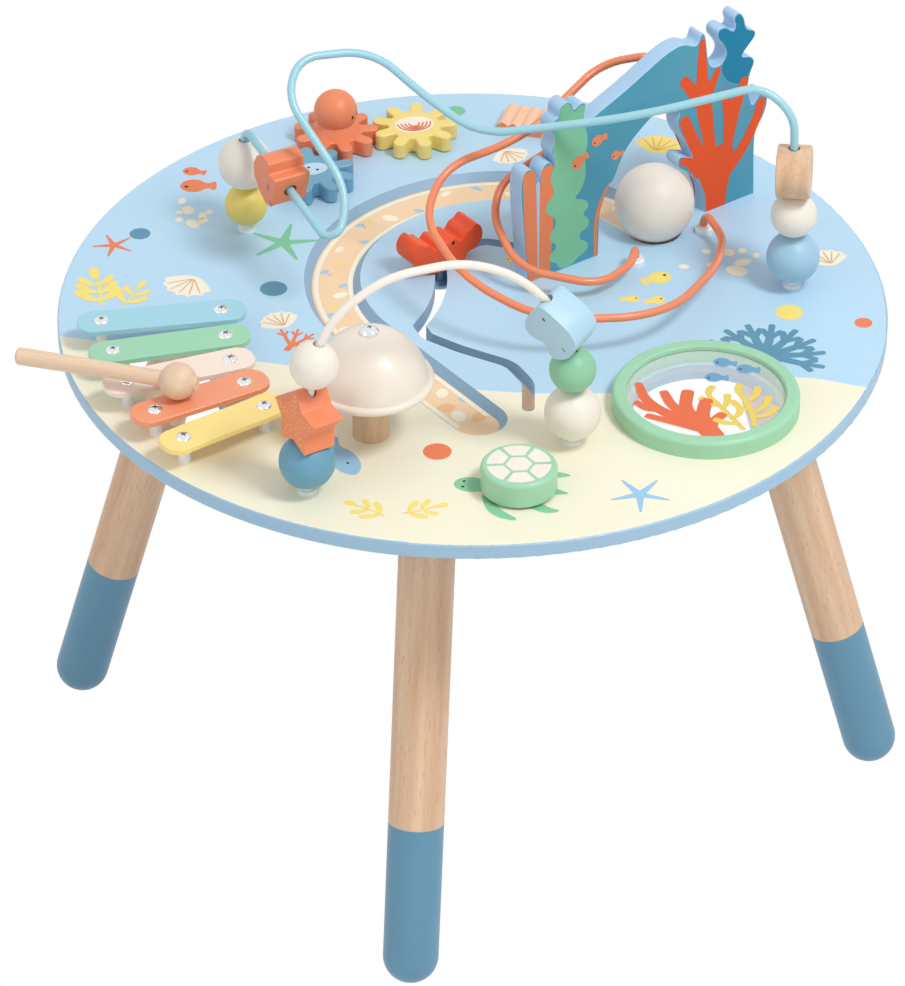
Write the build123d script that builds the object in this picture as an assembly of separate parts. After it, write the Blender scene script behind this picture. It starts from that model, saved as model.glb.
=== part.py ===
from build123d import *
import math
import os

# Musical activity table for toddlers.  Millimetres, +Z up.  The origin is on the
# floor under the centre of the round tabletop; the four legs stand on +-X and +-Y.

# ---- tabletop: two round layers glued together ----
table_radius = 300
table_height = 380
lower_layer = 6
upper_layer = 6
edge_round = 1.5

# ---- legs ----
leg_diameter = 40
leg_top_radius = 204
leg_foot_radius = 304
foot_flat = 0.4
plate_side = 56
plate_thickness = 3
stud_diameter = 8
stud_length = 34
plate_screw_diameter = 3.6
plate_screw_pitch = 44
plate_screw_depth = 5

# ---- ball and the wide channel it rolls in ----
ball_diameter = 59
channel_centre = (19, 40)
channel_radius = 127
channel_start = 38.5
channel_end = 225
channel_tail = 136
channel_width = 41
channel_wall_run = 5.5
channel_depth = 6

# ---- crab and the narrow slot it slides in ----
slot_width = 9
slot_centre = (-162, 11)
slot_radius = 136
slot_start = 16.6
slot_sweep = -35
crab_width = 64
crab_height = 31
crab_thickness = 20
crab_heading = 44.5
crab_stem_diameter = 8
crab_disc_diameter = 24
crab_disc_thickness = 3

# ---- coral arch ----
arch_foot = (55, 52)
arch_heading = 44.55
arch_thickness = 14

# ---- gears ----
gear_teeth = 9
gear_thickness = 12
gear_tip_radius = 32.5
gear_root_radius = 20
tooth_width = 10
gear_spacing = 60
gear_lift = 1
octopus_centre = (-134.8, 206.2)
yellow_bearing = 15.3
blue_bearing = -97.6
axle_diameter = 8
axle_socket = 9
axle_head_diameter = 16
axle_head = 3
octopus_head_diameter = 33
octopus_skirt_diameter = 36

# ---- turtle knob ----
knob_centre = (65, -226)
knob_diameter = 53
knob_height = 18.5
knob_lift = 2

# ---- bell ----
bell_centre = (-46, -175)
bell_radius = 41
bell_wall = 1.6
bell_rim_height = 43
bell_roll = 3
bell_post_diameter = 25.5
bell_neck_diameter = 14
bell_screw_diameter = 5
bell_screw_head = 13

# ---- drum window ----
drum_centre = (181, -107)
drum_outer_radius = 66
drum_inner_radius = 56
drum_hole_radius = 52.5
drum_height = 13.5
drum_film = 0.8
drum_film_depth = 3.5
drum_groove = 5

# ---- ribbed scraper block ----
scraper_side = 3
scraper_behind_plate = 22
scraper_heading = -8
scraper_length = 35
scraper_width = 30
scraper_height = 9.5
rib_count = 4
rib_depth = 3

# ---- xylophone: left screw, right screw of each bar ----
bar_screws_at = {
    "blue_bar": ((-254.1, -90.8), (-172.1, -64.3)),
    "green_bar": ((-238.1, -127.3), (-163.1, -96.3)),
    "pink_bar": ((-220.3, -163.7), (-154.1, -126.3)),
    "orange_bar": ((-194.1, -196.3), (-139.1, -153.3)),
    "yellow_bar": ((-168.1, -226.3), (-120.1, -180.3)),
}
bar_thickness = 4
bar_width = 27.5
bar_corner = 12
bar_overhang = 17.5
bar_lift = 16
felt_thickness = 2
felt_diameter = 12
bar_post_diameter = 9
bar_screw_diameter = 3.6
bar_hole_play = 0.7
bar_screw_head = 8
sound_hole_inset = 13

# ---- mallet ----
mallet_head_at = (-181, -179)
mallet_end_at = (-299, -164)
mallet_head_diameter = 26.6
mallet_diameter = 11.2
mallet_end_diameter = 12.5

# ---- wires ----
wire_diameter = 6
wire_tail = 9
collar_diameter = 13.3
collar_height = 5.5
collar_step = 2.5
nut_width = 10
nut_height = 5

# ---- beads and blocks on the wires ----
bead_bore = 8.4
block_bore = 10
lemon_bead = 32
cream_bead_back = 40
blue_bead = 39.2
white_bead = 33.7
cream_bead_front = 39.6
green_bead = 32.7
sky_bead = 38.8
cream_bead_right = 33.5
star_radius = 24
star_waist = 0.7
star_length = 26
star_seat = 18.1
wood_disc_diameter = 39
wood_disc_length = 24
fish_station = 162
fish_length = 28
whale_station = 126
whale_length = 29

# ---- clearances ----
gap = 0.3
bead_gap = 0.5
running_fit = 0.1
hole_play = 0.25
screw_bite = 8
scraper_bite = 4

os.makedirs("parts", exist_ok=True)

top = table_height
under = table_height - lower_layer - upper_layer


def unit(v):
    size = math.sqrt(sum(c * c for c in v))
    return tuple(c / size for c in v)


def polar(centre, radius, degrees):
    a = math.radians(degrees)
    return (centre[0] + radius * math.cos(a), centre[1] + radius * math.sin(a))


def peg(x, y, low, high, diameter):
    """Upright round peg between two heights."""
    return Pos(x, y, (low + high) / 2) * Cylinder(diameter / 2, high - low)


def fuse(pieces):
    whole = pieces[0]
    for piece in pieces[1:]:
        whole = whole + piece
    return whole


def leaf(points, rounding):
    """Closed outline with every corner rounded, drawn anticlockwise so it faces up."""
    pairs = zip(points, points[1:] + points[:1])
    if sum(a[0] * b[1] - b[0] * a[1] for a, b in pairs) < 0:
        points = points[::-1]
    shape = Polygon(*points, align=None)
    return fillet(shape.vertices(), rounding)


def save(name, *pieces):
    """One file per sub-part; identical fasteners share one file as separate solids."""
    solids = []
    for piece in pieces:
        solids += list(piece.solids())
    body = solids[0] if len(solids) == 1 else Compound(children=solids)
    body.label = name
    export_step(body, "parts/" + name + ".step")


# =====================================================================
# Where the fixings go
# =====================================================================
gear_centres = {
    "octopus": octopus_centre,
    "yellow": polar(octopus_centre, gear_spacing, yellow_bearing),
    "blue": polar(octopus_centre, gear_spacing, blue_bearing),
}
axles_at = list(gear_centres.values()) + [knob_centre]
bar_points = [p for pair in bar_screws_at.values() for p in pair]
arch_dir = (math.cos(math.radians(arch_heading)), math.sin(math.radians(arch_heading)))
arch_back = (-arch_dir[1], arch_dir[0])
arch_screw_stations = (-8, 18, 148, 174)
arch_screw_points = [
    (
        arch_foot[0] + arch_dir[0] * u + arch_back[0] * arch_thickness / 2,
        arch_foot[1] + arch_dir[1] * u + arch_back[1] * arch_thickness / 2,
    )
    for u in arch_screw_stations
]
scraper_centre = (scraper_side, leg_top_radius + plate_side / 2 + scraper_behind_plate)
scraper_screw_points = [
    polar(scraper_centre, side * scraper_length / 4, scraper_heading) for side in (-1, 1)
]
fixing_points = arch_screw_points + scraper_screw_points + [bell_centre]
fixing_diameter = 4

# =====================================================================
# Wires: straight runs joined by tangent bends, ends standing in the table
# =====================================================================
white_from = (-78, -250)
white_to = (94, -165)
white_span = math.dist(white_from, white_to)
white_dir = unit((white_to[0] - white_from[0], white_to[1] - white_from[1]))


def on_white(s, z):
    return (white_from[0] + white_dir[0] * s, white_from[1] + white_dir[1] * s, z)


tail_z = -(lower_layer + upper_layer + wire_tail)
blue_ends = ((-180, 77), (226.5, 58))
orange_ends = ((155, 123), (110, 72))
blue_route = [
    (*blue_ends[0], tail_z),
    (*blue_ends[0], 88),
    (-93, -39, 60),
    (-90, 4, 84),
    (-139, 34, 140),
    (-136, 64, 157),
    (-86, 86, 155),
    (-46, 70, 130),
    (-2, 44, 116),
    (110, 46, 139),
    (198, 64, 162),
    (223, 58, 144),
    (*blue_ends[1], 30),
    (*blue_ends[1], tail_z),
]
white_route = [
    on_white(0, tail_z),
    on_white(0, 30),
    on_white(5.5, 108),
    on_white(22, 139),
    on_white(58, 162),
    on_white(112, 164),
    on_white(150, 146),
    on_white(178, 114),
    on_white(white_span, 76),
    on_white(white_span, tail_z),
]
orange_route = [
    (*orange_ends[0], tail_z),
    (*orange_ends[0], 17),
    (172, 98, 12),
    (173, 40, 22),
    (145, -42, 30),
    (60, -66, 34),
    (0, -45, 50),
    (-36, 5, 66),
    (-28, 48, 84),
    (28, 74, 99),
    (74, 142, 125),
    (112, 138, 138),
    (115, 160, 118),
    (70, 118, 84),
    (35, 96, 70),
    (10, 70, 60),
    (8, 50, 44),
    (30, 18, 22),
    (90, 18, 13),
    (110, 50, 13),
    (*orange_ends[1], 15),
    (*orange_ends[1], tail_z),
]
tight_bends = {1: 10, 2: 11}
low_bends = {1: 9, len(orange_route) - 2: 8}


def bend_radii(route, limits):
    """Each bend is as large as its two runs allow, unless it is a tight one."""
    radii = []
    for i in range(1, len(route) - 1):
        before = Vector(*route[i - 1]) - Vector(*route[i])
        after = Vector(*route[i + 1]) - Vector(*route[i])
        turn = math.radians(180 - before.get_angle(after))
        r = 0.45 * min(before.length, after.length) / math.tan(turn / 2)
        radii.append(min(r, limits.get(i, r)))
    return radii


def wire_line(route, limits):
    radii = bend_radii(route, limits)
    line = FilletPolyline(*route, radius=radii)
    return Pos(0, 0, top) * Wire(line.edges())


def wire_tube(line):
    start = Plane(origin=line @ 0, z_dir=line % 0)
    return sweep(start * Circle(wire_diameter / 2), path=line)


blue_line = wire_line(blue_route, tight_bends)
white_line = wire_line(white_route, {})
orange_line = wire_line(orange_route, low_bends)
wire_feet = [*blue_ends, white_from, white_to, *orange_ends]


# =====================================================================
# Tabletop
# =====================================================================
def channel_tool():
    """Wide channel: sloped walls swept round the arc, then a straight run, round ends."""
    half = channel_width / 2
    foot = half - channel_wall_run
    floor = -channel_depth
    section = Polygon(
        (-foot, floor), (foot, floor), (half, 0), (half, 1), (-half, 1), (-half, 0),
        align=None,
    )
    centre = Pos(channel_centre[0], channel_centre[1], top)
    start = centre * Rot(0, 0, channel_start)
    end = centre * Rot(0, 0, channel_end)
    across = Plane(origin=(channel_radius, 0, 0), x_dir=(1, 0, 0), z_dir=(0, -1, 0))
    bend = revolve(across * section, axis=Axis.Z, revolution_arc=channel_end - channel_start)
    run = extrude(across * section, -channel_tail)
    cap = Pos(0, 0, floor / 2) * Cone(foot, half, channel_depth)
    cap = cap + Pos(0, 0, 0.5) * Cylinder(half, 1)
    pieces = [
        start * bend,
        start * Pos(channel_radius, 0, 0) * cap,
        end * run,
        end * Pos(channel_radius, channel_tail, 0) * cap,
        end * Pos(channel_radius, 0, 0) * cap,
    ]
    return fuse(pieces)


def slot_tool():
    """Narrow slot through both layers: an arc for the crab, with a bent tail at each end."""
    deep = lower_layer + upper_layer + 2
    arc = CenterArc(slot_centre, slot_radius, slot_start + 1, slot_sweep - 2)
    back_tail = FilletPolyline(arc @ 0, (-6, 86), (24, 81), radius=14)
    front_tail = FilletPolyline(
        arc @ 1, (-26, -47), (0, -60), (38, -74), (54, -96), (58, -127),
        radius=[12, 20, 25, 25],
    )
    runs = []
    for line in (Wire([arc]), Wire(back_tail.edges()), Wire(front_tail.edges())):
        start = Plane(origin=line @ 0, z_dir=line % 0)
        runs.append(sweep(start * Rectangle(slot_width, slot_width), path=line))
        for end in (line @ 0, line @ 1):
            runs.append(Pos(end.X, end.Y, 0) * Cylinder(slot_width / 2, slot_width))
    flat = section(fuse(runs), section_by=Plane.XY)
    return Pos(0, 0, under - 1) * extrude(flat, deep, dir=(0, 0, 1))


def sound_hole():
    """Opening under the bars, inside the two rows of screws."""
    lefts = []
    rights = []
    for left, right in list(bar_screws_at.values())[:4]:
        d = unit((right[0] - left[0], right[1] - left[1]))
        lefts.append((left[0] + d[0] * sound_hole_inset, left[1] + d[1] * sound_hole_inset))
        rights.append(
            (right[0] - d[0] * sound_hole_inset, right[1] - d[1] * sound_hole_inset)
        )
    outline = leaf(lefts + rights[::-1], 6)
    deep = lower_layer + upper_layer + 2
    return Pos(0, 0, under - 1) * extrude(outline, deep)


through = peg(*drum_centre, under - 1, top + 1, 2 * drum_hole_radius)
openings = [through, slot_tool(), sound_hole()]
for x, y in axles_at:
    openings.append(peg(x, y, under - 1, top + 1, axle_diameter + 2 * running_fit))
for x, y in wire_feet:
    openings.append(peg(x, y, under - 1, top + 1, wire_diameter + 2 * hole_play))
for x, y in fixing_points:
    openings.append(peg(x, y, under - 1, top + 1, fixing_diameter))

upper = Pos(0, 0, top - upper_layer / 2) * Cylinder(table_radius, upper_layer)
upper = fillet(upper.edges().group_by(Axis.Z)[-1], edge_round)
upper = upper - channel_tool()
lower = Pos(0, 0, under + lower_layer / 2) * Cylinder(table_radius, lower_layer)
lower = fillet(lower.edges().group_by(Axis.Z)[0], edge_round)
for tool in openings:
    upper = upper - tool
    lower = lower - tool
for x, y in bar_points:
    bite = peg(x, y, top - screw_bite, top + 1, bar_screw_diameter)
    upper = upper - bite
    lower = lower - bite

# =====================================================================
# Legs, their plates, studs and screws
# =====================================================================
leg_names = {"front_leg": 270, "right_leg": 0, "back_leg": 90, "left_leg": 180}
leg_radius = leg_diameter / 2
foot_centre = leg_radius - foot_flat
splay = math.degrees(
    math.atan((leg_foot_radius - leg_top_radius) / (under - foot_centre))
)
leg_seat = under - plate_thickness
plates = []
studs = []
plate_screws = []
screw_centre = leg_top_radius + (leg_foot_radius - leg_top_radius) * plate_thickness / (
    under - foot_centre
)
for name, bearing in leg_names.items():
    turn = Rot(0, 0, bearing)
    lean = Pos(leg_foot_radius, 0, foot_centre) * Rot(0, -splay, 0)
    length = (under - foot_centre) / math.cos(math.radians(splay))
    shaft = Pos(0, 0, length / 2) * Cylinder(leg_radius, length)
    over = Pos(0, 0, length) * Cylinder(leg_radius, leg_diameter)
    leg = lean * (shaft + over + Sphere(leg_radius))
    leg = leg & (Pos(leg_foot_radius, 0, leg_seat / 2) * Box(800, 800, leg_seat))
    stud_top = (leg_seat - foot_centre) / math.cos(math.radians(splay))
    stud = lean * Pos(0, 0, stud_top) * Cylinder(stud_diameter / 2, 2 * stud_length)
    stud = stud & (Pos(leg_top_radius, 0, under / 2) * Box(800, 800, under))
    leg = leg - stud
    plate = Pos(screw_centre, 0, leg_seat + plate_thickness / 2) * Box(
        plate_side, plate_side, plate_thickness
    )
    plate = fillet(plate.edges().filter_by(Axis.Z), 8)
    plate = plate - stud
    for side in (-1, 1):
        for end in (-1, 1):
            x = screw_centre + side * plate_screw_pitch / 2
            y = end * plate_screw_pitch / 2
            shank = peg(
                x, y, leg_seat - 0.5, under + plate_screw_depth, plate_screw_diameter
            )
            head = peg(x, y, leg_seat - 2, leg_seat, 2 * plate_screw_diameter)
            head = fillet(head.edges().group_by(Axis.Z)[0], 1)
            screw = turn * (shank + head)
            plate_screws.append(screw)
            plate = plate - shank
            lower = lower - turn * shank
    save(name, turn * leg)
    plates.append(turn * plate)
    studs.append(turn * stud)
save("tabletop_upper_layer", upper)
save("tabletop_lower_layer", lower)
save("leg_plates", *plates)
save("leg_studs", *studs)
save("leg_plate_screws", *plate_screws)


# =====================================================================
# Wires with collars above the table and nuts below
# =====================================================================
save("blue_wire", wire_tube(blue_line))
save("white_wire", wire_tube(white_line))
save("orange_wire", wire_tube(orange_line))
collar_radius = collar_diameter / 2
collar_profile = Polygon(
    (wire_diameter / 2, 0),
    (collar_radius, 0),
    (collar_radius, collar_height - collar_step),
    (collar_radius - 1.5, collar_height - collar_step + 0.8),
    (collar_radius - 1.8, collar_height),
    (wire_diameter / 2, collar_height),
    align=None,
)
collar = revolve(Plane.XZ * collar_profile, axis=Axis.Z)
nut = Pos(0, 0, -nut_height) * extrude(
    RegularPolygon(nut_width / 2, 6, major_radius=False) - Circle(wire_diameter / 2),
    nut_height,
)
save("wire_collars", *[Pos(x, y, top) * collar for x, y in wire_feet])
save("wire_nuts", *[Pos(x, y, under) * nut for x, y in wire_feet])

# =====================================================================
# Bell: post, domed shell with a rolled rim, screw
# =====================================================================
bx, by = bell_centre
rim = top + bell_rim_height
shell = Sphere(bell_radius) - Sphere(bell_radius - bell_wall)
shell = shell & (Pos(0, 0, bell_radius) * Box(200, 200, 2 * bell_radius))
roll_at = bell_radius + 0.6
roll = Pos(0, 0, bell_roll) * Torus(roll_at, bell_roll)
dome = Pos(bx, by, rim) * (shell + roll)
crown = rim + math.sqrt(
    (bell_radius - bell_wall) ** 2 - (bell_neck_diameter / 2) ** 2
)
screw_bore = peg(bx, by, crown - 20, rim + bell_radius + 5, bell_screw_diameter)
save("bell_dome", dome - screw_bore)
shoulder = rim + bell_radius / 3
post = peg(bx, by, top, shoulder, bell_post_diameter)
post = chamfer(post.edges().group_by(Axis.Z)[-1], 2)
post = post + peg(bx, by, shoulder - 1, crown, bell_neck_diameter)
fixing = peg(bx, by, under - 1, top + screw_bite, fixing_diameter)
save("bell_post", post - screw_bore - fixing)
seat = rim + math.sqrt(bell_radius**2 - (bell_screw_head / 2) ** 2)
cap_sphere = Pos(bx, by, seat - 2) * Sphere(bell_screw_head / 2 + 1)
cap_band = peg(bx, by, seat, seat + bell_screw_head, bell_screw_head)
bell_screw = peg(bx, by, crown - 20, seat + 2, bell_screw_diameter)
washer = peg(bx, by, seat - 1, seat + 0.5, bell_screw_head)
screw_head = (cap_sphere & cap_band) + washer - Pos(bx, by, rim) * Sphere(bell_radius)
save("bell_screw", bell_screw + screw_head)

# =====================================================================
# Drum window: wooden ring with a groove that holds the clear film
# =====================================================================
dx, dy = drum_centre
film_top = top + drum_height - drum_film_depth
ring = peg(dx, dy, top, top + drum_height, 2 * drum_outer_radius)
ring = fillet(ring.edges().group_by(Axis.Z)[-1], 3)
ring = ring - peg(dx, dy, top - 1, top + drum_height + 1, 2 * drum_inner_radius)
ring = fillet(
    ring.edges().group_by(Axis.Z)[-1].filter_by(GeomType.CIRCLE).sort_by(SortBy.RADIUS)[0],
    1.5,
)
film = peg(dx, dy, film_top - drum_film, film_top, 2 * (drum_inner_radius + drum_groove))
save("drum_ring", ring - film)
save("drum_film", film)

# =====================================================================
# Ribbed scraper block
# =====================================================================
rib_pitch = scraper_length / rib_count
valley = scraper_height - rib_depth
wave = [(-scraper_length / 2, 0), (scraper_length / 2, 0), (scraper_length / 2, valley)]
for i in range(rib_count):
    ridge = scraper_length / 2 - (i + 0.5) * rib_pitch
    wave.append((ridge, scraper_height))
    wave.append((ridge - rib_pitch / 2, valley))
wave_face = Polygon(*wave, align=None)
wave_face = fillet(wave_face.vertices().filter_by(lambda v: v.Y > valley - 0.1), 1.2)
block = Rot(90, 0, 0) * extrude(wave_face, scraper_width / 2, both=True)
block = Pos(*scraper_centre, top) * Rot(0, 0, scraper_heading) * block
fixings = []
for x, y in scraper_screw_points:
    bite = peg(x, y, under, top + scraper_bite, fixing_diameter)
    block = block - bite
    fixings.append(bite)
save("scraper_block", block)

# =====================================================================
# Coral arch: one sawn panel standing on edge
# =====================================================================
arch_plane = Plane(
    origin=(arch_foot[0], arch_foot[1], top),
    x_dir=(arch_dir[0], arch_dir[1], 0),
    z_dir=(-arch_back[0], -arch_back[1], 0),
)


def branch(points, width):
    """Rounded limb of coral along a bent line."""
    parts = []
    for a, b in zip(points, points[1:]):
        run = math.dist(a, b)
        tilt = math.degrees(math.atan2(b[1] - a[1], b[0] - a[0]))
        middle = Pos((a[0] + b[0]) / 2, (a[1] + b[1]) / 2)
        parts.append(middle * Rot(0, 0, tilt) * SlotCenterToCenter(run, width))
    return parts


tube_corals = branch([(-18, 6), (-27, 88)], 13) + branch([(-11, 6), (-12, 87)], 14)
kelp_leg = leaf(
    [
        (-24.5, 0), (-19, 55), (-7, 84), (0, 100), (-6, 108), (-1, 118), (1, 136),
        (12, 130), (20, 138), (26, 116), (100, 147), (112, 150), (125, 147),
        (112, 118), (96, 103), (80, 98), (67, 88), (60, 72), (50, 60), (40, 40),
        (36, 25), (37, 0),
    ],
    1.2,
)
coral_leg = leaf(
    [
        (137, 0), (137, 20), (133, 32), (124, 42), (120, 60), (113, 80), (100, 104),
        (122, 148), (140, 134), (145, 126), (172, 124), (173, 78), (180, 58),
        (178, 50), (186, 0),
    ],
    1.2,
)
twigs = (
    branch([(125, 60), (114, 54)], 8)
    + branch([(118, 86), (109, 90)], 8)
    + branch([(126, 130), (129, 149)], 8)
    + branch([(175, 60), (185, 84)], 10)
)
frond = (
    branch([(140, 126), (144, 136)], 12)
    + branch([(150, 128), (152, 144)], 14)
    + branch([(162, 120), (163, 150)], 18)
    + branch([(168, 112), (171, 136)], 15)
    + branch([(160, 112), (170, 106)], 16)
)
arch_outline = fuse([kelp_leg, coral_leg, *tube_corals, *twigs, *frond])
arch_outline = arch_outline & Pos(80, 150) * Rectangle(400, 300)
arch = extrude(arch_plane * arch_outline, -arch_thickness)
for x, y in arch_screw_points:
    bite = peg(x, y, under, top + screw_bite, fixing_diameter)
    arch = arch - bite
    fixings.append(bite)
save("coral_arch", arch)

fixings.append(peg(*bell_centre, under, top + screw_bite, fixing_diameter))
heads = []
for x, y in scraper_screw_points + arch_screw_points + [bell_centre]:
    head = peg(x, y, under - 2.2, under, 2 * fixing_diameter)
    heads.append(fillet(head.edges().group_by(Axis.Z)[0], 1))
save("underside_screws", *[a + b for a, b in zip(fixings, heads)])

# =====================================================================
# Xylophone
# =====================================================================
bar_low = top + bar_lift
bar_high = bar_low + bar_thickness
felt_low = bar_low - felt_thickness
posts = []
felts = []
bar_screws = []
for name, (left, right) in bar_screws_at.items():
    tilt = math.degrees(math.atan2(right[1] - left[1], right[0] - left[0]))
    middle = ((left[0] + right[0]) / 2, (left[1] + right[1]) / 2)
    outline = RectangleRounded(math.dist(left, right) + 2 * bar_overhang, bar_width, bar_corner)
    bar = Pos(*middle, bar_low) * Rot(0, 0, tilt) * extrude(outline, bar_thickness)
    bar = fillet(bar.edges().group_by(Axis.Z)[-1], 1)
    for x, y in (left, right):
        bar = bar - peg(
            x, y, bar_low - 1, bar_high + 1, bar_screw_diameter + 2 * bar_hole_play
        )
        shank = peg(x, y, top - screw_bite, bar_high, bar_screw_diameter)
        head = peg(x, y, bar_high, bar_high + 2.3, bar_screw_head)
        head = fillet(head.edges().group_by(Axis.Z)[-1], 1.6)
        bar_screws.append(shank + head)
        posts.append(peg(x, y, top, felt_low, bar_post_diameter) - shank)
        felts.append(peg(x, y, felt_low, bar_low, felt_diameter) - shank)
    save(name, bar)
save("bar_posts", *posts)
save("bar_felts", *felts)
save("bar_screws", *bar_screws)


# =====================================================================
# Gears: three nine-tooth wheels in mesh, each glued to an axle that runs in the table
# =====================================================================
def gear(phase):
    teeth = []
    reach = gear_tip_radius - tooth_width / 2
    for i in range(gear_teeth):
        turn = Rot(0, 0, phase + 360 / gear_teeth * i)
        teeth.append(turn * Pos(reach / 2, 0) * SlotCenterToCenter(reach, tooth_width))
    outline = fuse([Circle(gear_root_radius), *teeth])
    outline = fillet(outline.vertices().filter_by(in_valley), 2)
    wheel = extrude(outline, gear_thickness)
    return chamfer(wheel.edges().group_by(Axis.Z)[-1], 0.8)


def in_valley(vertex):
    return math.hypot(vertex.X, vertex.Y) < gear_root_radius + 0.5


def axle(low, high):
    """Round axle with a retaining head under the table."""
    shaft = Pos(0, 0, (low + high) / 2) * Cylinder(axle_diameter / 2, high - low)
    head = Pos(0, 0, low + axle_head / 2) * Cylinder(axle_head_diameter / 2, axle_head)
    return shaft + chamfer(head.edges().group_by(Axis.Z)[0], 0.8)


def mate_phase(bearing, phase):
    """Phase of a wheel whose valley meets the tooth of the wheel it stands beside."""
    return 2 * bearing + 180 - phase + half_pitch


half_pitch = 180 / gear_teeth
gear_phases = {
    "octopus": yellow_bearing,
    "yellow": mate_phase(yellow_bearing, yellow_bearing),
    "blue": mate_phase(blue_bearing, yellow_bearing),
}
gear_low = top + gear_lift
gear_high = gear_low + gear_thickness
axle_low = under - gap - axle_head
for name, (x, y) in gear_centres.items():
    pin = Pos(x, y, 0) * axle(axle_low, gear_low + axle_socket)
    wheel = Pos(x, y, gear_low) * gear(gear_phases[name])
    save(name + "_gear", wheel - pin)
    save(name + "_gear_axle", pin)

head_radius = octopus_head_diameter / 2
skirt = Pos(0, 0, 5) * Cone(octopus_skirt_diameter / 2, head_radius * 0.78, 10)
head = Pos(0, 0, head_radius) * Sphere(head_radius) + skirt
head = head & Pos(0, 0, 100) * Box(200, 200, 200)
save("octopus_head", Pos(*octopus_centre, gear_high) * head)

# =====================================================================
# Turtle knob
# =====================================================================
knob_low = top + knob_lift
knob = peg(*knob_centre, knob_low, knob_low + knob_height, knob_diameter)
knob = fillet(knob.edges().group_by(Axis.Z)[-1], 3)
knob = fillet(knob.edges().group_by(Axis.Z)[0], 1)
knob_pin = Pos(*knob_centre, 0) * axle(axle_low, knob_low + axle_socket)
save("turtle_knob", knob - knob_pin)
save("turtle_knob_axle", knob_pin)

# =====================================================================
# Rolling ball in the wide channel
# =====================================================================
ball_radius = ball_diameter / 2
ball_x, ball_y = polar(channel_centre, channel_radius, channel_start)
ball_z = top - channel_depth + gap + ball_radius
save("rolling_ball", Pos(ball_x, ball_y, ball_z) * Sphere(ball_radius))

# =====================================================================
# Crab with a stem through the slot and a disc below
# =====================================================================
crab_x, crab_y = polar(slot_centre, slot_radius, slot_start)
crab_low = top + gap + 0.2
half_crab = [
    (14, 0), (16, 8), (26, 10), (32, 17), (31, 25), (25, 31), (20, 24), (13, 18),
    (8, 26),
]
scale_u = crab_width / 64
scale_z = crab_height / 31
right_side = [(u * scale_u, v * scale_z) for u, v in half_crab]
left_side = [(-u, v) for u, v in reversed(right_side)]
crab_outline = leaf(right_side + left_side, 2.2)
crab_body = Rot(90, 0, 0) * extrude(crab_outline, crab_thickness / 2, both=True)
crab_body = Rot(0, 0, crab_heading) * crab_body
crab_body = Pos(crab_x, crab_y, crab_low) * crab_body
stem_low = under - gap - crab_disc_thickness
stem = peg(crab_x, crab_y, stem_low, crab_low + 12, crab_stem_diameter)
disc = peg(crab_x, crab_y, stem_low, under - gap, crab_disc_diameter)
disc = chamfer(disc.edges(), 0.8)
save("crab", crab_body - stem)
save("crab_stem", stem)
save("crab_disc", disc - stem)

# =====================================================================
# Mallet lying on the bars
# =====================================================================
mallet_z = bar_high + gap + mallet_head_diameter / 2
mallet_axis = Vector(
    mallet_end_at[0] - mallet_head_at[0], mallet_end_at[1] - mallet_head_at[1], 0
)
mallet_plane = Plane(origin=(*mallet_head_at, mallet_z), z_dir=mallet_axis)
handle_length = mallet_axis.length
dowel_end = mallet_head_diameter / 2 + 1
handle = Pos(0, 0, (handle_length - dowel_end) / 2) * Cone(
    mallet_diameter / 2, mallet_end_diameter / 2, handle_length + dowel_end
)
handle = fillet(handle.edges().sort_by(Axis.Z)[-1], 3)
handle = fillet(handle.edges().sort_by(Axis.Z)[0], 1)
save("mallet_handle", mallet_plane * handle)
save("mallet_head", mallet_plane * (Sphere(mallet_head_diameter / 2) - handle))


# =====================================================================
# Beads and blocks, threaded along their wires by distance from the lower end
# =====================================================================
def on_wire(line, along, half, across=(1, 0, 0)):
    """Frame with z along the wire, centred on what of it a piece that long covers."""
    span = line.length
    low = line @ ((along - half) / span)
    middle = line @ (along / span)
    high = line @ ((along + half) / span)
    axis = (high - low).normalized()
    side = Vector(*across)
    side = side - axis * side.dot(axis)
    return Plane(origin=(low + high) * 0.25 + middle * 0.5, x_dir=side, z_dir=axis)


def ring_height(diameter):
    """Distance from a bead's centre to the flat ring round its bore."""
    return math.sqrt((diameter / 2) ** 2 - (bead_bore / 2) ** 2)


def thread(name, line, start, diameter):
    """Round bead resting at a distance along its wire; returns where it ends."""
    half = ring_height(diameter)
    at = start + bead_gap + half
    ball = Sphere(diameter / 2) - Cylinder(bead_bore / 2, diameter)
    save(name, on_wire(line, at, half) * ball)
    return at + half


def sawn(outline, length, bore):
    """Block sawn to an outline that holds the wire's direction; the wire runs up it."""
    blank = extrude(Plane.YZ * outline, length / 2, both=True)
    return blank - Cylinder(bore / 2, 200)


foot_of_stack = -tail_z + collar_height
back_from_white = wire_line(list(reversed(white_route)), {})
last = len(blue_route) - 1
back_from_blue = wire_line(
    list(reversed(blue_route)), {last - i: r for i, r in tight_bends.items()}
)

reached = thread("lemon_bead", blue_line, foot_of_stack, lemon_bead)
thread("cream_bead_back", blue_line, reached, cream_bead_back)
fish_outline = leaf(
    [
        (4, -16.5), (15, -12), (21, -4), (20.5, 6), (12, 8), (14.5, 17.5), (8, 17.5),
        (-13, 14), (-16, 6), (-12.5, -4), (-5, -14),
    ],
    1.8,
)
fish_block = sawn(fish_outline, fish_length, block_bore)
fish_frame = on_wire(blue_line, fish_station, 17, (0.8, 0.6, 0))
save("fish_block", fish_frame * fish_block)

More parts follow.
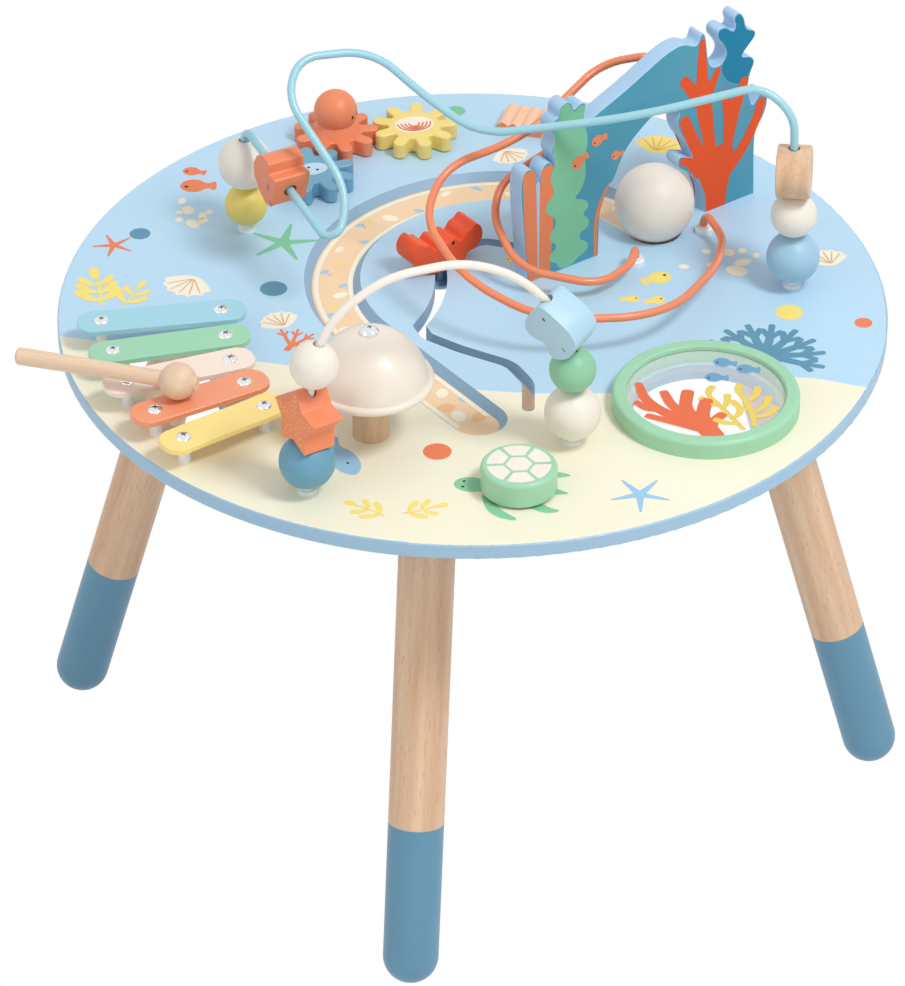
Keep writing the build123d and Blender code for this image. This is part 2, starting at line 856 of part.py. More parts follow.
reached = thread("blue_bead", white_line, foot_of_stack, blue_bead)
star_points = []
for i in range(10):
    r = star_radius * (1 if i % 2 == 0 else star_waist)
    a = math.radians(90 + 36 * i)
    star_points.append((r * math.cos(a), r * math.sin(a)))
star = sawn(leaf(star_points, 2), star_length, bead_bore)
star_at = reached + star_seat
save("star_block", on_wire(white_line, star_at, star_seat, (0.775, 0.632, 0)) * star)
thread("white_bead", white_line, star_at + star_radius - 0.5, white_bead)

reached = thread("cream_bead_front", back_from_white, foot_of_stack, cream_bead_front)
thread("green_bead", back_from_white, reached, green_bead)
whale_outline = leaf(
    [
        (2.7, 25), (13.6, 15.7), (18, 9), (18.5, 1), (14.5, -5), (8, -8), (9.5, -16),
        (4.4, -22.4), (-1.5, -23.5), (-14, -9), (-15, 3), (-8.5, 14.9),
    ],
    1.5,
)
whale = sawn(whale_outline, whale_length, block_bore)
whale_frame = on_wire(back_from_white, whale_station, 23.5, (0.302, 0.955, 0))
save("whale_block", whale_frame * whale)

reached = thread("sky_bead", back_from_blue, foot_of_stack, sky_bead)
reached = thread("cream_bead_right", back_from_blue, reached, cream_bead_right)
disc_radius = wood_disc_diameter / 2
wood_disc = Rot(0, 90, 0) * Cylinder(disc_radius, wood_disc_length)
wood_disc = fillet(wood_disc.edges().filter_by(GeomType.CIRCLE), 1)
wood_disc = wood_disc - Cylinder(bead_bore / 2, 2 * wood_disc_diameter)
disc_frame = on_wire(back_from_blue, reached + bead_gap + disc_radius, disc_radius)
save("wood_disc", disc_frame * wood_disc)
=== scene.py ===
import math

import bmesh
import bpy
from mathutils import Matrix, Vector


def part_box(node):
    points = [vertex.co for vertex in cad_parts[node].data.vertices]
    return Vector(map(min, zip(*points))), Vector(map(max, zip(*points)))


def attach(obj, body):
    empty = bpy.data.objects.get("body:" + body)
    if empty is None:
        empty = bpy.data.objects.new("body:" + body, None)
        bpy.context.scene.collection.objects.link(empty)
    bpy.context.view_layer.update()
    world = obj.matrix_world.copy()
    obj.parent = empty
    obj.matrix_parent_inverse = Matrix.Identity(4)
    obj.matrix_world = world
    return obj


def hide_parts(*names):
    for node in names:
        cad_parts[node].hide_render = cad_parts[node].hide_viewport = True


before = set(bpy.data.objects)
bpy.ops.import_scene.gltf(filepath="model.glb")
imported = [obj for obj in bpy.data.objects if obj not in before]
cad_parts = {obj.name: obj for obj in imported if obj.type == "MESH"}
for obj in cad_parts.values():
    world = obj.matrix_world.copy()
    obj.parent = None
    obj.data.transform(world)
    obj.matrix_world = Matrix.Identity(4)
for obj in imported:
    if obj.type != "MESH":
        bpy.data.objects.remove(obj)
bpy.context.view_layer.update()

# ---- Tabletop, upper layer.  Medium-density fibreboard, 6 mm, routed through with the
# wide ball channel and the narrow crab slot, then printed and lacquered: water
# at the back and a sand bank at the front.
mm = 0.001
top_face = 380
channel_floor = 374
top_radius = 300
shore_depth = 150
bank_line = [
    (-300, -84), (-230, -88), (-140, -97), (20, -110), (105, -102), (170, -84), (245, -61), (300, -66),
]


def paint(code):
    """Linear colour of an sRGB hex value."""
    parts = [int(code[i:i + 2], 16) / 255 for i in (1, 3, 5)]
    return [c / 12.92 if c <= 0.04045 else ((c + 0.055) / 1.055) ** 2.4 for c in parts] + [1.0]


def add(tree, kind, inputs=None, **settings):
    """One shader node with its settings, values and links.

    A node as a value gives its first live output and a hex string its colour; a Mix mixes colours.
    """
    node = tree.nodes.new("ShaderNode" + kind)
    if kind == "Mix":
        node.data_type = "RGBA"
    for name, value in settings.items():
        setattr(node, name, value)
    for name, value in (inputs or {}).items():
        if isinstance(value, str):
            value = paint(value)
        if isinstance(value, bpy.types.Node):
            value = next(socket for socket in value.outputs if socket.enabled)
        if isinstance(value, bpy.types.NodeSocket):
            tree.links.new(value, node.inputs[name])
        else:
            node.inputs[name].default_value = value
    return node


def surface(name):
    """New material with its node tree and texture coordinates."""
    made = bpy.data.materials.new(name)
    made.use_nodes = True
    made.node_tree.nodes.clear()
    return made, made.node_tree, add(made.node_tree, "TexCoord").outputs


def skin(tree, inputs, height=None, strength=0.05, depth_mm=0.3):
    """Surface shader of a material, with a bump where a height is given."""
    if height is not None:
        bump = add(tree, "Bump", {"Strength": strength, "Distance": depth_mm * mm, "Height": height})
        inputs = inputs | {"Normal": bump}
    add(tree, "OutputMaterial", {"Surface": add(tree, "BsdfPrincipled", inputs)})


def give(node, material):
    """A CAD node's one material."""
    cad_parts[node].data.materials.clear()
    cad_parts[node].data.materials.append(material)


# In what follows a MapRange takes its value at 0, its range at 1 and 2 and its result's at
# 3 and 4, a Mix its factor at 0 and its colours at 6 and 7, and a noise's scale is 1000
# over the size of its blots in millimetres.
def board_surface(name):
    """Material of the round board: its coordinates by axis, its facing and its middle distance."""
    made, tree, place = surface(name)
    spot = add(tree, "SeparateXYZ", {0: place["Object"]}).outputs
    facing = add(tree, "SeparateXYZ", {0: place["Normal"]}).outputs[2]
    level_spot = add(tree, "CombineXYZ", {0: spot[0], 1: spot[1]})
    from_middle = add(tree, "VectorMath", {0: level_spot}, operation="LENGTH")
    is_up = add(tree, "MapRange", {0: facing, 1: 0.90, 2: 0.93})
    return made, tree, place, spot, facing, is_up, from_middle


# UV-cured print under satin lacquer on fibreboard: even colour, soft broad gloss,
# a very fine orange peel about 2 mm across.
lacquer, tree, place, spot, facing, is_up, from_middle = board_surface("printed_fibreboard_satin_lacquer")
across = add(tree, "MapRange", {0: spot[0], 1: -top_radius * mm, 2: top_radius * mm})
bank = add(tree, "FloatCurve", {"Value": across})
shore = bank.mapping.curves[0].points
for at, (x, y) in enumerate(bank_line):
    spot_on_line = ((x + top_radius) / (2 * top_radius), (y + shore_depth) / shore_depth)
    if at in (0, len(bank_line) - 1):
        shore[min(at, 1)].location = spot_on_line
    else:
        shore.new(*spot_on_line)
bank.mapping.update()
shore_y = add(tree, "MapRange", {0: bank, 3: -shore_depth * mm, 4: 0.0})
in_front = add(tree, "Math", {0: shore_y, 1: spot[1]}, operation="SUBTRACT")
on_bank = add(tree, "MapRange", {0: in_front, 1: -0.2 * mm, 2: 0.2 * mm})
tone = add(tree, "TexNoise", {"Vector": place["Object"], "Scale": 1000 / 90})
water = add(tree, "Mix", {0: tone, 6: "#B3D7EF", 7: "#BBDDF3"})
sand = add(tree, "Mix", {0: tone, 6: "#F2ECD1", 7: "#F5F1DC"})
flat_top = add(tree, "Mix", {0: on_bank, 6: water, 7: sand})
# Painted shade: the channel's and slot's walls are a darker blue than the outer rim, and darker still at
# their foot, where each wall meets the floor.
clear_of_wall_foot_shade = add(tree, "MapRange", {0: spot[2], 1: (channel_floor - 0.5) * mm, 2: (channel_floor + 0.5) * mm})
inner_wall_painted_shade = add(tree, "Mix", {0: clear_of_wall_foot_shade, 6: "#6F98B8", 7: "#8FB0CB"})
rim = add(tree, "MapRange", {0: from_middle, 1: (top_radius - 2.5) * mm, 2: (top_radius - 2.2) * mm})
sides = add(tree, "Mix", {0: rim, 6: inner_wall_painted_shade, 7: "#9EC1DA"})
colour = add(tree, "Mix", {0: is_up, 6: sides, 7: flat_top})
peel = add(tree, "TexNoise", {"Vector": place["Object"], "Scale": 1000 / 2, "Detail": 1.0})
gloss = add(tree, "MapRange", {0: tone, 1: -1.0, 2: 2.5})
skin(tree, {"Base Color": colour, "Roughness": gloss}, peel, 0.04, 0.2)
give("tabletop_upper_layer", lacquer)


# ---- Tabletop, lower layer. The same board, glued under the first: its upper face is
# the channel's floor of warm sand, its edge and underside are sprayed with the
# rim's blue, and the slot's walls are a darker blue as painted shade.
def clouded(name, code, blots_mm, deep, pale=1.0):
    """New material with one colour that deepens and pales a little in soft blots."""
    made, tree, place = surface(name)
    base = paint(code)[:3]
    dark, light = ([min(1.0, c * share) for c in base] + [1.0] for share in (deep, pale))
    cloud = add(tree, "TexNoise", {"Vector": place["Object"], "Scale": 1000 / blots_mm})
    colour = add(tree, "Mix", {0: cloud, 6: dark, 7: light})
    return made, tree, place, cloud, colour


def painted(name, code, roughness=0.42, grain_mm=1.2, strength=0.05, shine=0.5):
    """Sprayed water-based paint on sanded wood: near-even colour, satin, faint peel."""
    made, tree, place, cloud, colour = clouded(name, code, 12, 0.95, 1.04)
    rough = add(tree, "MapRange", {0: cloud, 3: roughness - 0.05, 4: roughness + 0.07})
    peel = add(tree, "TexNoise", {"Vector": place["Object"], "Scale": 1000 / grain_mm})
    skin(tree, {"Base Color": colour, "Roughness": rough, "Specular IOR Level": shine}, peel, strength)
    return made


# Fibreboard with sprayed edges: blue in faint clouds 60 mm wide, satin, peel 1.5 mm across,
# and a darker blue on the slot's walls as painted shade.
board_paint, tree, place, spot, facing, is_up, from_middle = board_surface("printed_and_sprayed_fibreboard")
cloud = add(tree, "TexNoise", {"Vector": place["Object"], "Scale": 1000 / 60})
sprayed = add(tree, "Mix", {0: cloud, 6: "#98BDD6", 7: "#A3C6DF"})
outside = add(tree, "MapRange", {0: from_middle, 1: (top_radius - 10) * mm, 2: (top_radius - 8) * mm})
# Painted shade: side faces inside the rim, the slot's walls, take the darker blue.
cut = add(tree, "Mix", {0: outside, 6: "#7BA3C4", 7: sprayed})
grain = add(tree, "TexNoise", {"Vector": place["Object"], "Scale": 1000 / 25})
warm_sand = add(tree, "Mix", {0: grain, 6: "#F6D0A4", 7: "#F8D9B4"})
is_floor = add(tree, "MapRange", {0: spot[2], 1: (channel_floor - 0.5) * mm, 2: (channel_floor - 0.2) * mm})
upward = add(tree, "Mix", {0: is_floor, 6: sprayed, 7: warm_sand})
is_side = add(tree, "MapRange", {0: facing, 1: -0.3, 2: -0.2})
sides = add(tree, "Mix", {0: is_side, 6: sprayed, 7: cut})
colour = add(tree, "Mix", {0: is_up, 6: sides, 7: upward})
peel = add(tree, "TexNoise", {"Vector": place["Object"], "Scale": 1000 / 1.5})
skin(tree, {"Base Color": colour, "Roughness": 0.48}, peel, 0.06)
give("tabletop_lower_layer", board_paint)

# ---- Prints on the tabletop.  Flat spots of UV ink: pebbles and bubbles, starfish,
# seaweed, branching coral and scallop shells, laid out freely over the board.
ink_lift = 0.06


def ink(name, code):
    """UV ink: opaque, nearly matt, with a slightly mottled body 3 mm across."""
    return painted("uv_ink_" + name, code, 0.5, 3.0, 0.03, 0.3)


def spin(degrees, axis="Z"):
    """Turn about an axis."""
    return Matrix.Rotation(math.radians(degrees), 4, axis)


def flat_on(origin, heading=0.0):
    """Placement of a print, in millimetres, on a level face."""
    return Matrix.Translation(Vector(origin) * mm) @ spin(heading) @ Matrix.Scale(mm, 4)


def ring_point(radius, degrees):
    """Point at a bearing on a circle."""
    a = math.radians(degrees)
    return (radius * math.cos(a), radius * math.sin(a))


def from_curve(mesh, points, move, sizes=None, **settings):
    """Mesh of a smooth curve: an open one has a width at each point, a closed one is filled."""
    curve = bpy.data.curves.new("line", "CURVE")
    for name, value in settings.items():
        setattr(curve, name, value)
    line = curve.splines.new("NURBS")
    line.points.add(len(points) - 1)
    for spot, at, size in zip(line.points, points, sizes or [1.0] * len(points)):
        spot.co = (at[0], at[1], 0.0, 1.0)
        spot.radius = size
    line.order_u = 3
    line.use_endpoint_u = bool(sizes)
    line.use_cyclic_u = not sizes
    holder = bpy.data.objects.new("line", curve)
    made = bpy.data.meshes.new_from_object(holder)
    made.transform(move)
    mesh.from_mesh(made)
    bpy.data.meshes.remove(made)
    bpy.data.objects.remove(holder)
    bpy.data.curves.remove(curve)


def stroke(mesh, points, widths, place, cut=False):
    """Brush stroke, pressed almost flat, with round ends; its start may be cut square.

    Strokes of one mesh lie a few microns over one another, so none coincide where they cross.
    """
    first = (Vector(points[0]) - Vector(points[1])).normalized() * widths[0]
    final = (Vector(points[-1]) - Vector(points[-2])).normalized() * widths[-1]
    ends = [Vector(points[0]) + first * reach for reach in (0.5, 0.38)] + list(points)
    ends += [Vector(points[-1]) + final * reach for reach in (0.38, 0.5)]
    sizes = [0.5 * widths[0], 0.92 * widths[0]] + list(widths) + [0.92 * widths[-1], 0.5 * widths[-1]]
    start = 2 if cut else 0
    lift = Matrix.Translation((0, 0, ink_lift + 0.006 * (len(mesh.verts) // 60 % 11)))
    from_curve(
        mesh, ends[start:], place @ lift @ Matrix.Scale(0.001, 4, (0, 0, 1)), sizes[start:],
        dimensions="3D", bevel_depth=0.5, bevel_resolution=1, resolution_u=5, use_fill_caps=True,
    )


def patch(mesh, outline, place, lift=1.0):
    """Filled print with a smooth closed outline."""
    raised = place @ Matrix.Translation((0, 0, ink_lift * lift))
    from_curve(mesh, outline, raised, dimensions="2D", fill_mode="BOTH", resolution_u=6)


def dot(mesh, x, y, across, place, tall=1.0, turn=0.0, lift=1.0):
    """Round or oval spot of ink."""
    shape = Matrix.Translation((x, y, ink_lift * lift)) @ spin(turn)
    bmesh.ops.create_circle(
        mesh, cap_ends=True, segments=32, radius=across / 2,
        matrix=place @ shape @ Matrix.Diagonal((1, tall, 1, 1)),
    )


def piece(name, mesh, material, body, smooth=False):
    """Finished piece from a bmesh, riding on a body."""
    data = bpy.data.meshes.new(name)
    mesh.to_mesh(data)
    mesh.free()
    data.materials.append(material)
    if smooth:
        data.shade_smooth()
    else:
        data.shade_flat()
    made = bpy.data.objects.new(name, data)
    bpy.context.scene.collection.objects.link(made)
    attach(made, body)
    return made


def starfish(mesh, x, y, reach, heading):
    """Five tapering arms from one body."""
    at = flat_on((x, y, top_face), heading)
    for arm in range(5):
        line = [(0, 0), ring_point(reach * 0.5, 72 * arm), ring_point(reach, 72 * arm)]
        stroke(mesh, line, [reach * 0.30, reach * 0.20, reach * 0.08], at)


def seaweed(mesh, x, y, height, heading, pairs):
    """Stem with paired drop-shaped leaves."""
    at = flat_on((x, y, top_face), heading)
    stroke(mesh, [(0, 0), (height * 0.04, height * 0.5), (0, height * 0.8)], [height * 0.06] * 3, at)
    for pair in range(pairs):
        root = height * (0.12 + 0.7 * pair / pairs)
        size = height * (0.44 - 0.05 * pair)
        for side in (-1, 1):
            leaf = [(0, 0), (side * 0.42, 0.22), (side * 0.72, 0.66)]
            line = [(size * across, root + size * up) for across, up in leaf]
            stroke(mesh, line, [size * 0.12, size * 0.40, size * 0.42], at)
    bud = [(0, height * 0.78), (0, height * 0.92), (0, height * 1.06)]
    stroke(mesh, bud, [height * 0.06, height * 0.17, height * 0.19], at)


def coral_bush(mesh, x, y, height, heading, fan, stout):
    """Coral that forks twice from a short trunk; stout widens its limbs."""
    at = flat_on((x, y, top_face), heading)
    limb = height * 0.1 * stout
    stroke(mesh, [(0, 0), (0, height * 0.2), (0, height * 0.36)], [limb * 1.5, limb * 1.3, limb], at)
    for lean in fan:
        a = math.radians(90 - lean)
        mid = (height * 0.55 * math.cos(a), height * 0.18 + height * 0.50 * math.sin(a))
        bend = (height * 0.22 * math.cos(a), height * 0.20 + height * 0.16 * math.sin(a))
        stroke(mesh, [(0, height * 0.18), bend, mid], [limb, limb * 0.85, limb * 0.75], at)
        for fork in (-34, 4, 38):
            b = a + math.radians(fork)
            reach = height * (0.32 if fork == 4 else 0.22)
            tip = (mid[0] + reach * math.cos(b), mid[1] + reach * math.sin(b))
            knee = (mid[0] + reach * 0.5 * math.cos(b), mid[1] + reach * 0.5 * math.sin(b))
            stroke(mesh, [mid, knee, tip], [limb * 0.6, limb * 0.55, limb * 0.6], at)


def scallop(mesh, x, y, size, heading, place=None):
    """Fan-shaped shell outline with a small hinge."""
    at = place or flat_on((x, y, top_face), heading)
    edge = [(size * 0.16, -size * 0.1)]
    for lobe in range(7):
        a = math.radians(12 + 26 * lobe)
        edge.append((size * 0.56 * math.cos(a), size * 0.1 + size * 0.56 * math.sin(a)))
        if lobe < 6:
            b = a + math.radians(13)
            edge.append((size * 0.47 * math.cos(b), size * 0.1 + size * 0.47 * math.sin(b)))
    edge.append((-size * 0.16, -size * 0.1))
    patch(mesh, edge, at)


def shell_ribs(mesh, x, y, size, heading):
    """Thin rays from the hinge of a shell to its edge."""
    at = flat_on((x, y, top_face), heading) @ Matrix.Translation((0, 0, 0.08))
    for ray in range(5):
        a = math.radians(38 + 26 * ray)
        root = (size * 0.05 * math.cos(a), size * 0.02)
        tip = (size * 0.46 * math.cos(a), size * 0.08 + size * 0.46 * math.sin(a))
        middle = ((root[0] + tip[0]) / 2, (root[1] + tip[1]) / 2)
        stroke(mesh, [root, middle, tip], [0.7, 0.9, 0.7], at)


upper_fish = [(5.5, 0), (3, 3.6), (-1, 3.8), (-3.8, 0.9), (-6.5, 3.4)]
small_fish = upper_fish + [(x, -y) for x, y in reversed(upper_fish[1:])]


def fish(mesh, length, place):
    """Plain little fish, its nose along x."""
    patch(mesh, [(x * length / 12, y * length / 12) for x, y in small_fish], place)


def fish_eye(mesh, length, place):
    """The dot of a plain fish's eye, just over its body."""
    dot(mesh, length * 0.24, length * 0.05, max(1.2, length * 0.1), place, lift=2.4)


level = flat_on((0, 0, top_face))
board = bmesh.new()
for x, y, across in [(-146, -1, 20), (-257, 58.5, 15.5)]:
    dot(board, x, y, across, level)
coral_bush(board, 214, -46, 48, -14, [-84, -58, -34, -10, 14, 38, 62, 88], 1.75)
piece("slate_blue_prints", board, ink("slate_blue", "#5F95B0"), "table")

board = bmesh.new()
dot(board, -52, 268, 15, level)
starfish(board, -150, 62, 25, 15)
piece("sea_green_prints", board, ink("sea_green", "#7FC6A0"), "table")

board = bmesh.new()
for x, y, across in [(3, -190, 20), (282, 16, 13)]:
    dot(board, x, y, across, level)
starfish(board, -273, 40, 15, 50)
red_fish = [(19, flat_on((-235, 151, top_face), 176)), (29, flat_on((-229, 131, top_face), 188))]
for length, at in red_fish:
    fish(board, length, at)
coral_bush(board, -122, -78, 26, -20, [-46, -14, 18, 50], 1.3)
piece("coral_orange_prints", board, ink("coral_orange", "#EE8259"), "table")

board = bmesh.new()
dot(board, 228, 22, 20, level)
seaweed(board, -266, -40, 43, 18, 3)
seaweed(board, -249, -38, 30, -14, 2)
seaweed(board, -22, -271, 27, 66, 2)
seaweed(board, -8, -266, 27, -62, 2)
gold_shell = (107, 232, 36, -8)
scallop(board, *gold_shell)
gold_fish = [
    (length, flat_on((x, y, top_face), heading))
    for length, x, y, heading in [(25, 129, 54, 34), (15, 113, 23, 12), (17, 131, 24, 24), (13, 20, 64, 190)]
]
for length, at in gold_fish:
    fish(board, length, at)
piece("sun_yellow_prints", board, ink("sun_yellow", "#F8E17A"), "table")

board = bmesh.new()
starfish(board, 148, -221, 20, -10)
blue_fish = flat_on((-60, -208, top_face), -58) @ Matrix.Scale(0.6, 4, (0, 1, 0))
fish(board, 52, blue_fish)
piece("sky_blue_prints", board, ink("sky_blue", "#9CC8E8"), "table")

black_ink = ink("black", "#23262B")
board = bmesh.new()
for length, at in red_fish + gold_fish + [(26, blue_fish)]:
    fish_eye(board, length, at)
piece("fish_eye_prints", board, black_ink, "table")

board = bmesh.new()
for x, y, across, tall, turn in [
    (-235, 108, 6, 1.5, 0), (-228, 96, 9, 1.4, 20), (-216, 90, 6, 1.6, -10), (-234, 92, 5, 1.3, 60),
    (-221, 78, 9, 1.5, 40), (-212, 96, 5, 1.3, 0), (-214, 83, 7, 1.3, -30), (-232, 82, 6, 1.2, 10),
    (146, 72, 8, 0.8, 0), (165, 77, 6, 1.2, 30), (176, 96, 9, 1.2, 60), (188, 84, 9, 1.5, -50),
    (186, 100, 6, 1.2, 0), (160, 95, 6, 1.2, 50), (197, 95, 5, 1.4, 0), (185, 72, 13, 1.3, 70),
]:
    dot(board, x, y, across, level, tall, turn)
white_shells = [(-206, 3, 38, 160), (-130, -48, 30, 40), (-6, 214, 30, -140), (252, 92, 30, 25)]
for shell in white_shells:
    scallop(board, *shell)
piece("shell_white_prints", board, ink("shell_white", "#F6F0DA"), "table")

board = bmesh.new()
for shell in white_shells + [gold_shell]:
    shell_ribs(board, *shell)
piece("shell_rib_prints", board, ink("rib_tan", "#E7A878"), "table")

# ---- Prints on the channel floor: shells, pebbles and little fish shapes in pale
# inks, 6 mm below the top, thin enough for the ball to roll over.
channel_middle = Vector((19, 40))
channel_radius = 127


def in_channel(angle, across):
    """Point of the channel floor at a bearing on the arc, some way off its middle line."""
    return channel_middle + Vector(ring_point(channel_radius + across, angle))


deep = flat_on((0, 0, channel_floor))
run_side = Vector(ring_point(1.0, 225))
run_way = run_side.orthogonal()


def down_run(along, across):
    """Point of the channel's straight run, some way along it and off its middle line."""
    return channel_middle + run_side * (channel_radius + across) + run_way * along


board = bmesh.new()
for angle, across, size, turn in [
    (60, 6, 9, 10), (96, -4, 12, 60), (118, 5, 9, 120), (142, -3, 13, 30), (168, 4, 9, 80), (196, -5, 12, 20),
    (216, 5, 9, 0),
]:
    x, y = in_channel(angle, across)
    dot(board, x, y, size, deep, 0.6, turn + angle)
for along, across, size in [(24, -3, 10), (52, 5, 12), (88, -4, 12), (118, 4, 14)]:
    x, y = down_run(along, across)
    dot(board, x, y, size, deep, 0.7, along)
for side in (-12.6, 12.6):
    border = [in_channel(angle, side) for angle in range(42, 226, 12)]
    border += [down_run(along, side) for along in (12, 60, 110, 128)]
    stroke(board, border, [3.6] * len(border), deep)
piece("channel_cream_prints", board, ink("channel_cream", "#FBF3DC"), "table")
board = bmesh.new()
for angle, across in [(70, -7), (108, 8), (131, -8), (152, 8), (160, -8), (182, 7), (190, -8), (207, 8)]:
    x, y = in_channel(angle, across)
    dot(board, x, y, 8, deep, 0.55, angle + 40)
    dot(board, x + 4.5, y - 2.5, 3.6, deep, 0.8, angle)
for along, across in [(14, 8), (38, -9), (66, -10), (78, 9), (104, -11)]:
    x, y = down_run(along, across)
    dot(board, x, y, 9, deep, 0.5, along + 50)
piece("channel_blue_prints", board, ink("channel_blue", "#A9CDE6"), "table")
board = bmesh.new()
for angle, across in [(84, 3), (124, -2), (148, 6), (176, -4), (202, 2)]:
    at = in_channel(angle, across)
    scallop(board, 0, 0, 11, 0, flat_on((*at, channel_floor), angle))
piece("channel_gold_prints", board, ink("channel_gold", "#F3D99A"), "table")
board = bmesh.new()
for along, across in [(36, 4), (70, -1), (101, 3), (124, -6)]:
    at = down_run(along, across)
    scallop(board, 0, 0, 14, 0, flat_on((*at, channel_floor), along * 2))
piece("channel_tan_prints", board, ink("channel_tan", "#F2C495"), "table")

# ---- Legs.  Turned beech dowels, 40 mm, with round feet; the lower ends are dipped
# in blue paint after a clear satin lacquer.  The grain runs up each leg.
def grain_space(tree, place, placement):
    """Coordinates with Z along the grain of a piece set at a placement."""
    return add(
        tree, "Mapping",
        {"Vector": place["Object"], "Location": placement.translation, "Rotation": placement.to_euler()},
        vector_type="TEXTURE",
    )


def beech_colour(tree, along):
    """Beech: soft tone bands about 9 mm wide, and dark ray flecks 0.5 mm by 4 mm."""
    long_way = add(tree, "Mapping", {"Vector": along, "Scale": (1, 1, 0.06)})
    fleck_way = add(tree, "Mapping", {"Vector": along, "Scale": (1, 1, 0.16)})
    bands = add(tree, "TexNoise", {"Vector": long_way, "Scale": 1000 / 9, "Detail": 3.0})
    fibre = add(tree, "TexNoise", {"Vector": long_way, "Scale": 1000 / 1.1})
    rays = add(tree, "TexNoise", {"Vector": fleck_way, "Scale": 1000 / 1.3, "Detail": 1.0})
    banded = add(tree, "MapRange", {0: bands, 1: 0.3, 2: 0.7})
    streaked = add(tree, "MapRange", {0: fibre, 1: 0.35, 2: 0.75, 4: 0.35})
    flecked = add(tree, "MapRange", {0: rays, 1: 0.60, 2: 0.74, 4: 0.45})
    body = add(tree, "Mix", {0: banded, 6: "#D0A684", 7: "#E6C6A6"})
    body = add(tree, "Mix", {0: streaked, 6: body, 7: "#D7AE8A"})
    body = add(tree, "Mix", {0: flecked, 6: body, 7: "#B98A66"})
    return body, fibre


def beech(name, placement, pale=0.0):
    """Sanded beech under clear satin lacquer; pale is the share of whitish sapwood."""
    made, tree, place = surface(name)
    body, fibre = beech_colour(tree, grain_space(tree, place, placement))
    body = add(tree, "Mix", {0: pale, 6: body, 7: "#FBE6CC"})
    skin(tree, {"Base Color": body, "Roughness": 0.48}, fibre, 0.10)
    return made


leg_splay = 16.015
foot_middle = Vector((304, 0, 19.6))
dip_height = 104 * mm
leg_bearings = {"front_leg": 270, "right_leg": 0, "back_leg": 90, "left_leg": 180}
for leg, bearing in leg_bearings.items():
    placement = (
        spin(bearing)
        @ Matrix.Translation(foot_middle * mm)
        @ spin(-leg_splay, "Y")
    )
    wood, tree, place = surface("lacquered_beech_" + leg)
    along = grain_space(tree, place, placement)
    body, fibre = beech_colour(tree, along)
    height = add(tree, "SeparateXYZ", {0: along}).outputs[2]
    bare = add(tree, "MapRange", {0: height, 1: dip_height - 0.3 * mm, 2: dip_height + 0.3 * mm})
    cloud = add(tree, "TexNoise", {"Vector": along, "Scale": 1000 / 30})
    dip = add(tree, "Mix", {0: cloud, 6: "#598BA6", 7: "#6294AF"})
    colour = add(tree, "Mix", {0: bare, 6: dip, 7: body})
    gloss = add(tree, "MapRange", {0: bare, 3: 0.40, 4: 0.5})
    ridges = add(tree, "Math", {0: fibre, 1: 0.35}, operation="MULTIPLY")
    step = add(tree, "Math", {0: ridges, 1: bare}, operation="SUBTRACT")
    skin(tree, {"Base Color": colour, "Roughness": gloss}, step, 0.25, 0.2)
    give(leg, wood)

# ---- Leg plates, hanger studs, and all the plated fixings below the table: zinc on
# mild steel, a little cloudy in patches about 3 mm across.
def plated(name, deep, bright, cloud_mm, detail, low, high):
    """Plated steel: clouds in colour and gloss a few millimetres across."""
    made, tree, place = surface(name)
    cloud = add(tree, "TexNoise", {"Vector": place["Object"], "Scale": 1000 / cloud_mm, "Detail": detail})
    colour = add(tree, "Mix", {0: cloud, 6: deep, 7: bright})
    gloss = add(tree, "MapRange", {0: cloud, 1: low, 2: high})
    skin(tree, {"Base Color": colour, "Roughness": gloss, "Metallic": 1.0})
    return made


zinc = plated("zinc_plated_steel", "#B9BCC0", "#D6D8DA", 3, 3.0, -0.4, 2.0)
for fixing in ("leg_plates", "leg_studs", "leg_plate_screws", "underside_screws", "wire_nuts"):
    give(fixing, zinc)


# ---- Bead wires.  6 mm mild-steel rod, bent cold and powder coated: a smooth skin
# with a soft shine.  Each end stands in a white moulded collar.
def powder_coat(name, code, roughness=0.33):
    """Baked polyester powder: even colour, fine orange peel 1.5 mm across."""
    made, tree, place, _, colour = clouded(name, code, 25, 0.95)
    peel = add(tree, "TexNoise", {"Vector": place["Object"], "Scale": 1000 / 1.5, "Detail": 1.0})
    coat = {"Base Color": colour, "Roughness": roughness, "Coat Weight": 0.2, "Coat Roughness": 0.15}
    skin(tree, coat, peel, 0.05, 0.2)
    return made


give("blue_wire", powder_coat("powder_coated_wire_blue", "#9FD3E1"))
give("white_wire", powder_coat("powder_coated_wire_cream", "#F6EDE2"))
give("orange_wire", powder_coat("powder_coated_wire_orange", "#F08A60"))


def moulded(name, code, roughness=0.3):
    """Injection-moulded plastic: even colour, polished mould, slight depth."""
    made, tree, _, cloud, colour = clouded(name, code, 5, 0.96)
    gloss = add(tree, "MapRange", {0: cloud, 3: roughness, 4: roughness + 0.08})
    depth = {"Subsurface Weight": 0.05, "Subsurface Radius": (0.001, 0.001, 0.001)}
    skin(tree, {"Base Color": colour, "Roughness": gloss} | depth)
    return made


white_moulding = moulded("moulded_white_plastic", "#F1F4F6")
give("wire_collars", white_moulding)

# ---- Bell.  Pressed steel dome with a rolled rim, cream powder coat, held on a
# turned beech post by a polished cap screw with a cross-shaped driver recess.
give("bell_dome", powder_coat("powder_coated_steel_bell", "#EFE4D6", 0.38))
bell_spot = (-46, -175)
upright = Matrix.Translation(Vector((*bell_spot, top_face)) * mm)
give("bell_post", beech("lacquered_beech_post", upright))
chrome = plated("polished_nickel_plated_steel", "#DDE0E3", "#F2F4F5", 2, 2.0, -0.2, 6.0)
give("bell_screw", chrome)
# The bottom of a screw's recess: the same steel in shade, grey and half matt.
shade, tree, place = surface("shaded_screw_recess")
skin(tree, {"Base Color": "#6A6E74", "Metallic": 1.0, "Roughness": 0.4})


